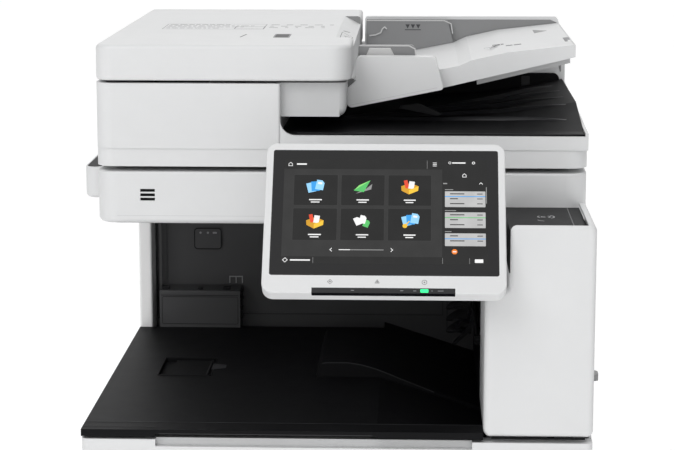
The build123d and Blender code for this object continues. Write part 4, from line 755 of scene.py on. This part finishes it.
def make_column_details():
    top = level(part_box("column_top")[1].z)
    x, depth = 229.5, 84.0
    marks = [(arc(x, depth, 3.0, 60, 300, 14), 1.1, False), (arc(x, depth, 7.0, -50, 50, 8), 1.1, False)]
    marks += [(arc(x, depth, 11.5, -50, 50, 10), 1.1, False), (arc(x, depth, 7.0, 130, 230, 8), 1.1, False)]
    marks += [(arc(x + 3, depth - 16, 12.0, 200, 250, 6), 1.0, False)]
    sheet_of("reader_mark", top, marks, LIGHT_GREY, "machine", -0.05, 0.10)
    groove = [rect(258.6, 259.8, 4.0, 145.0)]
    sheet_of("column_groove", top, groove, GLOSS_BLACK, "machine", -0.1, 0.12)
    low, high = COLUMN
    front = facing_user(low.y)
    x1 = high.x * IN_MM
    shadow = [([(low.x * IN_MM + 9, low.z * IN_MM - 1.2), (x1 - 9, low.z * IN_MM - 1.2)], 1.8, False)]
    sheet_of("column_foot_gap", front, shadow, BLACK, "machine", -3.0, -1.0)


# ---------------------------------------------------------------- output tray and cavity
HUMP_RISE = 18.0  # top of the hump above the tray
TRAY_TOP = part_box("output_tray")[1].z * IN_MM - HUMP_RISE


def make_tray_details():
    top = level(TRAY_TOP * MM)
    # Lighter lines along the black tray's bevel: painted highlight.
    lines = [([(-281.5, 31.0), (161.0, 31.0)], 1.1, False), ([(-281.5, 12.0), (-201.0, 12.0)], 0.7, False)]
    sheet_of("tray_bevel_painted_highlight", top, lines, DARK_GREY, "machine", -0.1, 0.10)
    rim = [(rect(-227.0, -162.0, 244.0, 334.0, 3.0), 1.2, True)]
    sheet_of("recess_rim", top, rim, SATIN_BLACK, "machine", -0.1, 0.7)
    tab = [(-164.0, 274.0), (-147.0, 283.0), (-147.0, 297.0), (-164.0, 303.0)]
    sheet_of("stopper_tab", top, [tab], DARK_GREY, "machine", -0.1, 0.8, 0.4)
    front = facing_user(FRONT_Y)
    grip = [rect(-196.0, 40.0, TRAY_TOP - 5.2, TRAY_TOP - 4.4)]
    sheet_of("grip_line", front, grip, DARK_GREY, "machine", -0.1, 0.15)


def make_hump_face():
    """Raised lining on the front of the hump, following its fall to the right, with a painted highlight along
    its crest.
    """
    face = upright(245.0)
    high = TRAY_TOP + HUMP_RISE
    crest = [(-26.0, high - 1.5), (-20.0, high - 0.6), (5.0, high - 0.4), (22.0, high - 3.0),
             (40.0, high - 8.3), (55.0, high - 14.0), (69.0, high - 19.9)]
    crest += [(110.0, high - 36.2)]
    foot = [(110.0, high - 39.0), (62.0, high - 25.0), (44.0, TRAY_TOP + 0.5), (-31.0, TRAY_TOP + 0.5)]
    sheet_of("hump_face", face, [crest + foot], BLACK, "machine", -0.3, 0.35, 0.2)
    # Lighter line along the hump's crest: painted highlight.
    edge = [(crest, 0.9, False)]
    sheet_of("hump_edge_painted_highlight", face, edge, DARK_GREY, "machine", -0.2, 0.8)
    seam = [([(69.0, high - 20.4), (66.0, high - 26.0)], 0.8, False)]
    sheet_of("hump_seam", face, seam, BLACK, "machine", 0.2, 0.9)


def make_cavity_details():
    wall = upright(552.0)
    z0, z1 = TRAY_TOP, SCANNER[0].z * IN_MM
    frames = [([(-150.0, z0 + 3), (-150.0, z0 + 10), (123.0, z0 + 10), (123.0, z1 - 6)], 1.4, False)]
    frames += [([(-250.0, z1 - 8), (-250.0, z0 + 56)], 1.4, False)]
    frames += [([(129.0, z0 - 8), (129.0, z1 - 6)], 2.0, False),
               ([(151.0, z0 - 10), (151.0, z1 - 6)], 2.0, False)]
    sheet_of("cavity_frames", wall, frames, DARK_GREY, "machine", -0.2, 1.5)
    # Black strip in the gap between the pillar and the back wall: painted shade.
    dark = [rect(-264.5, -257.0, z0 + 2, z1 - 4)]
    sheet_of("cavity_slot_painted_shade", wall, dark, GLOSS_BLACK, "machine", -0.2, 0.8)
    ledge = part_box("cavity_back_wall")[0].y
    shelf = facing_user(ledge)
    tabs = [rect(-253.0, -243.0, z0 + 50, z0 + 54, 1.0), rect(-205.0, -198.0, z0 + 50, z0 + 53, 1.0)]
    tabs += [rect(-171.0, -161.0, z0 + 50, z0 + 54, 1.0)]
    sheet_of("ledge_tabs", shelf, tabs, SATIN_BLACK, "machine", -9.0, -4.0, 0.5)
    seam = [([(-254.0, z0 + 43), (-150.0, z0 + 43)], 0.7, False),
            (rect(-252.5, -151.0, z0 + 4, z0 + 41, 2.0), 0.6, True)]
    sheet_of("ledge_seam", shelf, seam, SATIN_BLACK, "machine", -0.1, 0.3)
    loop = [([(-165.0, z0 + 52), (-165.0, z0 + 61), (-156.5, z0 + 61), (-156.5, z0 + 52)], 1.3, False)]
    loop += [([(-156.5, z0 + 61), (-148.0, z0 + 61), (-148.0, z0 + 52)], 1.3, False)]
    sheet_of("wire_loop", wall, loop, MID_GREY, "machine", 0.0, 2.0)
    edge = [(rect(-212.0, -176.0, z0 + 99, z0 + 127, 4.0), 1.3, True)]
    sheet_of("knockout_rim", upright(550.0), edge, SATIN_BLACK, "machine", -0.2, 0.4)
    dots = [arc(-204.0, z0 + 121, 1.5, 0, 360, 12), arc(-194.0, z0 + 121, 1.5, 0, 360, 12),
            rect(-187.5, -182.0, z0 + 119.8, z0 + 122.2, 0.5)]
    sheet_of("knockout_dots", upright(550.0), dots, GREY_PRINT_AND_SHADE, "machine", -0.1, 0.35)
    clips = [rect(-150.0, -145.0, z0 + z, z0 + z + 5.0, 0.8) for z in (8.0, 20.0, 33.0, 44.0)]
    sheet_of("ledge_clips", upright(530.0), clips, SATIN_BLACK, "machine", -4.0, 2.0, 0.5)


def make_fins():
    """Curved glossy fins on the exit fingers' rod."""
    bm = bmesh.new()
    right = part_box("exit_fingers")[1].x * IN_MM
    for z in (548.0, 533.0, 518.0):
        rings = []
        for step in range(9):
            part = step / 8
            depth = 372.0 + 66.0 * part
            reach = 30.0 * math.sin(math.pi * (0.12 + 0.8 * part)) ** 0.7
            sag = 6.0 * math.sin(math.pi * part)
            tip = right - 6.0 - reach
            corners = ((right - 5.0, z), (tip, z - sag), (tip - 1.0, z - sag - 2.4), (right - 5.0, z - 4.0))
            rings.append([bm.verts.new((cx * MM, deep(depth), cz * MM)) for cx, cz in corners])
        for a, b in zip(rings, rings[1:]):
            for j in range(4):
                bm.faces.new((a[j], b[j], b[(j + 1) % 4], a[(j + 1) % 4]))
        bm.faces.new(rings[0])
        bm.faces.new(list(reversed(rings[-1])))
    bmesh.ops.bevel(bm, geom=bm.edges[:], offset=0.3 * MM, segments=1, affect="EDGES")
    piece("exit_fins", bm, GLOSS_BLACK, "exit_fingers")


make_scanner_details()
make_column_details()
make_tray_details()
make_hump_face()
make_cavity_details()
make_fins()


# ---------------------------------------------------------------- lower casings, sides and back
CASSETTE_HEIGHT = 108.0
GRIP_DROP = 14.0  # grip below the cassette front's top
GRIP_HEIGHT = 32.0


def screw_heads(name, place, spots, body="machine"):
    """Pan heads with a cross recess."""
    bm = bmesh.new()
    for x, z in spots:
        raised(bm, place, arc(x, z, 3.4, 0, 360, 20), -0.2, 1.7, 0.7)
    piece(name, bm, STEEL, body)
    crosses = []
    # Cross recesses painted dark on the heads: painted shade in the recess.
    for x, z in spots:
        crosses += [rect(x - 1.8, x + 1.8, z - 0.35, z + 0.35), rect(x - 0.35, x + 0.35, z - 1.8, z + 1.8)]
    sheet_of(name + "_slots", place, crosses, DARK_PRINT_AND_SHADE, body, 1.5, 1.85)


def make_cassette_details():
    front = facing_user(FRONT_Y)
    for name in ("lower", "upper"):
        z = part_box(name + "_cassette_front")[0].z * IN_MM
        body = name + "_cassette"
        gauge = [rect(232.0, 236.5, z + 40, z + 82, 1.5)]
        sheet_of(name + "_gauge", front, gauge, GLOSS_BLACK, body, -0.2, 0.25, 0.15)
        ticks = [rect(239.0, 242.0 + 2.0 * (i % 2 == 0), z + 42 + i * 9.5, z + 42.8 + i * 9.5)
                 for i in range(5)]
        ticks.append(rect(244.0, 254.0, z + 18, z + 24, 1.0))
        sheet_of(name + "_gauge_marks", front, ticks, GREY_PRINT_AND_SHADE, body, -0.05, 0.08)
        window = [rect(-254.0, -236.0, z + 74, z + 90, 2.0)]
        sheet_of(name + "_size_window", front, window, MID_GREY, body, -0.2, 0.3, 0.2)
        bars = [rect(-251.0, -239.0, z + 84, z + 85.4), rect(-251.0, -243.0, z + 79, z + 80.4)]
        sheet_of(name + "_size_bars", front, bars, DARK_PRINT_AND_SHADE, body, 0.2, 0.4)
        grip_z = z + CASSETTE_HEIGHT - GRIP_DROP - GRIP_HEIGHT
        lining = [rect(-69.0, 69.0, grip_z + 0.8, grip_z + GRIP_HEIGHT - 0.8, 5.5)]
        sheet_of(name + "_grip_lining", front, lining, LIGHT_GREY, body, -16.1, -15.4)


def make_side_details():
    right = facing_right(HALF * IN_MM)
    screw_heads("right_screws", right, [(38.0, 56.0), (38.0, 250.0), (640.0, 56.0), (640.0, 300.0),
                                        (640.0, 640.0)])
    # Dark strips in the vent grooves: painted shade inside them.
    grooves = [rect(430.0, 570.0, 80.0 + row * 9.0, 83.0 + row * 9.0, 1.4) for row in range(12)]
    sheet_of("right_vent_painted_shade", right, grooves, DARK_PRINT_AND_SHADE, "machine", -0.2, 0.15)
    lips = [([(430.0, 84.6 + row * 9.0), (570.0, 84.6 + row * 9.0)], 1.4, False) for row in range(12)]
    sheet_of("right_vent_lips", right, lips, WHITE, "machine", -0.2, 0.9)
    left = plane((-HALF, FRONT_Y, 0), (0, -1, 0), (0, 0, 1))
    screw_heads("left_screws", left, [(-38.0, 56.0), (-38.0, 460.0), (-670.0, 56.0), (-670.0, 460.0)])
    # Dark strips in the vent grooves: painted shade inside them.
    grooves = [rect(-560.0, -360.0, 330.0 + row * 10.0, 333.4 + row * 10.0, 1.6) for row in range(10)]
    sheet_of("left_vent_painted_shade", left, grooves, DARK_PRINT_AND_SHADE, "machine", -0.2, 0.15)
    lips = [([(-560.0, 335.2 + row * 10.0), (-360.0, 335.2 + row * 10.0)], 1.5, False) for row in range(10)]
    sheet_of("left_vent_lips", left, lips, WHITE, "machine", -0.2, 0.9)
    handle = [(rect(-420.0, -270.0, 150.0, 182.0, 9.0), 2.4, True)]
    sheet_of("left_handle_rim", left, handle, WHITE, "machine", -0.3, 1.0)
    sheet_of("left_handle_pad", left, [rect(-418.0, -272.0, 152.0, 180.0, 8.0)], MID_GREY, "machine",
             -0.3, 0.2)
    door = facing_right(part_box("right_door")[1].x * IN_MM)
    rim = [(rect(161.0, 228.0, 300.0, 470.0, 6.0), 1.2, True)]
    sheet_of("right_door_seam", door, rim, LIGHT_GREY, "right_door", -0.2, 0.25)
    ribs = [rect(262.0 + i * 36.0, 265.0 + i * 36.0, 342.0, 432.0, 1.2) for i in range(8)]
    tray = facing_right(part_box("bypass_tray")[1].x * IN_MM)
    sheet_of("bypass_ribs", tray, ribs, WHITE, "bypass_tray", -0.2, 0.5, 0.3)


def make_back_details():
    back = facing_back(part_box("back_cover")[1].y)
    spots = [(x, z) for x in (-272.0, 0.0, 272.0) for z in (52.0, 300.0, 520.0, 684.0)]
    screw_heads("back_screws", back, spots)
    seams = [([(-281.0, 272.0), (281.0, 272.0)], 0.8, False),
             ([(-120.0, 272.0), (-120.0, 691.0)], 0.8, False)]
    seams += [([(-281.0, 545.0), (-120.0, 545.0)], 0.8, False)]
    sheet_of("back_seams", back, seams, MID_GREY, "machine", -0.2, 0.2)
    plate = [rect(-60.0, 60.0, 196.0, 246.0, 2.0)]
    sheet_of("rating_plate", back, plate, WHITE, "machine", -0.1, 0.3, 0.15)
    words = []
    for row in range(4):
        words += word_bars(-54.0, 40.0 - row * 12, 236.0 - row * 10.0, 2.4, 2.0, 40 + row)
    sheet_of("rating_bars", back, words, DARK_PRINT_AND_SHADE, "machine", 0.25, 0.4)
    feeder = facing_back(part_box("rear_unit")[1].y)
    screw_heads("feeder_screws", feeder, [(-250.0, 800.0), (-20.0, 800.0), (262.0, 800.0)], "document_feeder")
    seam = [([(60.0, 800.0), (60.0, 855.0), (-262.0, 855.0)], 0.8, False)]
    sheet_of("feeder_back_seam", feeder, seam, LIGHT_GREY, "document_feeder", -0.2, 0.2)
    panel = plane(SCREEN_PLANE @ Vector((PICTURE[0] / 2, PICTURE[1] / 2, -22.0)), (-1, 0, 0), UP)
    spots = [(x, y) for x in (-100.0, 100.0) for y in (-78.0, 58.0)]
    screw_heads("panel_back_screws", panel, spots, "control_panel")
    # Dark strips in the vent slots: painted shade inside them.
    ribs = [rect(-60.0, 60.0, -60.0 + row * 6.0, -57.6 + row * 6.0, 1.1) for row in range(7)]
    sheet_of("panel_back_vent_painted_shade", panel, ribs, DARK_PRINT_AND_SHADE, "control_panel", -0.1, 0.12)


make_cassette_details()
make_side_details()
make_back_details()

# ---------------------------------------------------------------- floor, light and camera
def make_floor():
    mesh = bpy.data.meshes.new("studio_floor")
    reach = FLOOR_REACH
    corners = [(-reach, -reach, 0), (reach, -reach, 0), (reach, reach, 0), (-reach, reach, 0)]
    mesh.from_pydata([(x, y, LOW.z) for x, y, _ in corners], [], [(0, 1, 2, 3)])
    floor = bpy.data.objects.new("studio_floor", mesh)
    bpy.context.scene.collection.objects.link(floor)
    paper = moulded("studio_paper", (0.965, 0.965, 0.965), 0.9, 40.0, 0.00001, 0.001, 0.02, shine_level=0.1)
    surface = next(n for n in paper.node_tree.nodes if n.type == "BSDF_PRINCIPLED")
    surface.inputs["Emission Color"].default_value = (1, 1, 1, 1)
    surface.inputs["Emission Strength"].default_value = PAPER_GLOW
    floor.data.materials.append(paper)


def area_light(name, place, target, size, power):
    data = bpy.data.lights.new(name, "AREA")
    data.shape = "RECTANGLE"
    data.size, data.size_y = size
    data.energy = power
    lamp = bpy.data.objects.new(name, data)
    lamp.location = place
    lamp.rotation_mode = "QUATERNION"
    lamp.rotation_quaternion = (Vector(target) - Vector(place)).to_track_quat("-Z", "Y")
    bpy.context.scene.collection.objects.link(lamp)


def make_light():
    world = bpy.data.worlds.new("studio")
    world.use_nodes = True
    tree = world.node_tree
    sky = tree.nodes["Background"]
    sky.inputs["Strength"].default_value = SKY_STRENGTH
    place = tree.nodes.new("ShaderNodeTexCoord")
    split = tree.nodes.new("ShaderNodeSeparateXYZ")
    tree.links.new(place.outputs["Generated"], split.inputs["Vector"])
    sideways = tree.nodes.new("ShaderNodeMath")
    sideways.operation = "ABSOLUTE"
    tree.links.new(split.outputs["X"], sideways.inputs[0])
    falloff = tree.nodes.new("ShaderNodeValToRGB")
    falloff.color_ramp.elements[0].position = 0.22
    falloff.color_ramp.elements[0].color = (1, 1, 1, 1)
    falloff.color_ramp.elements[1].position = 0.85
    falloff.color_ramp.elements[1].color = (SIDE_SHADE, SIDE_SHADE, SIDE_SHADE, 1)
    tree.links.new(sideways.outputs["Value"], falloff.inputs["Fac"])
    tree.links.new(falloff.outputs["Color"], sky.inputs["Color"])
    bpy.context.scene.world = world
    area_light("key", KEY_PLACE, KEY_TARGET, KEY_SIZE, KEY_POWER)
    bpy.context.scene.view_settings.view_transform = "Standard"


def make_camera():
    """Front view, from a little to the right and above the panel."""
    data = bpy.data.cameras.new("camera")
    data.sensor_width = 36.0
    data.lens = CAMERA_LENS
    camera = bpy.data.objects.new("camera", data)
    camera.location = CAMERA_PLACE
    camera.rotation_mode = "QUATERNION"
    camera.rotation_quaternion = Vector(CAMERA_AIM).to_track_quat("-Z", "Y")
    bpy.context.scene.collection.objects.link(camera)
    bpy.context.scene.camera = camera


FLOOR_REACH = 60.0
PAPER_GLOW = 0.24
SKY_STRENGTH = 1.25
SIDE_SHADE = 0.03  # sky to the left and right, against 1 ahead, behind and above
KEY_PLACE, KEY_TARGET = (-1.5, -2.6, 3.1), (0, 0, 0.7)
KEY_SIZE, KEY_POWER = (1.8, 1.8), 34
CAMERA_PLACE = (0.0886, deep(-2272), 1.124)
CAMERA_LENS = 113.8
CAMERA_AIM = (-0.0840, 2.200, -0.392)
make_floor()
make_light()
make_camera()
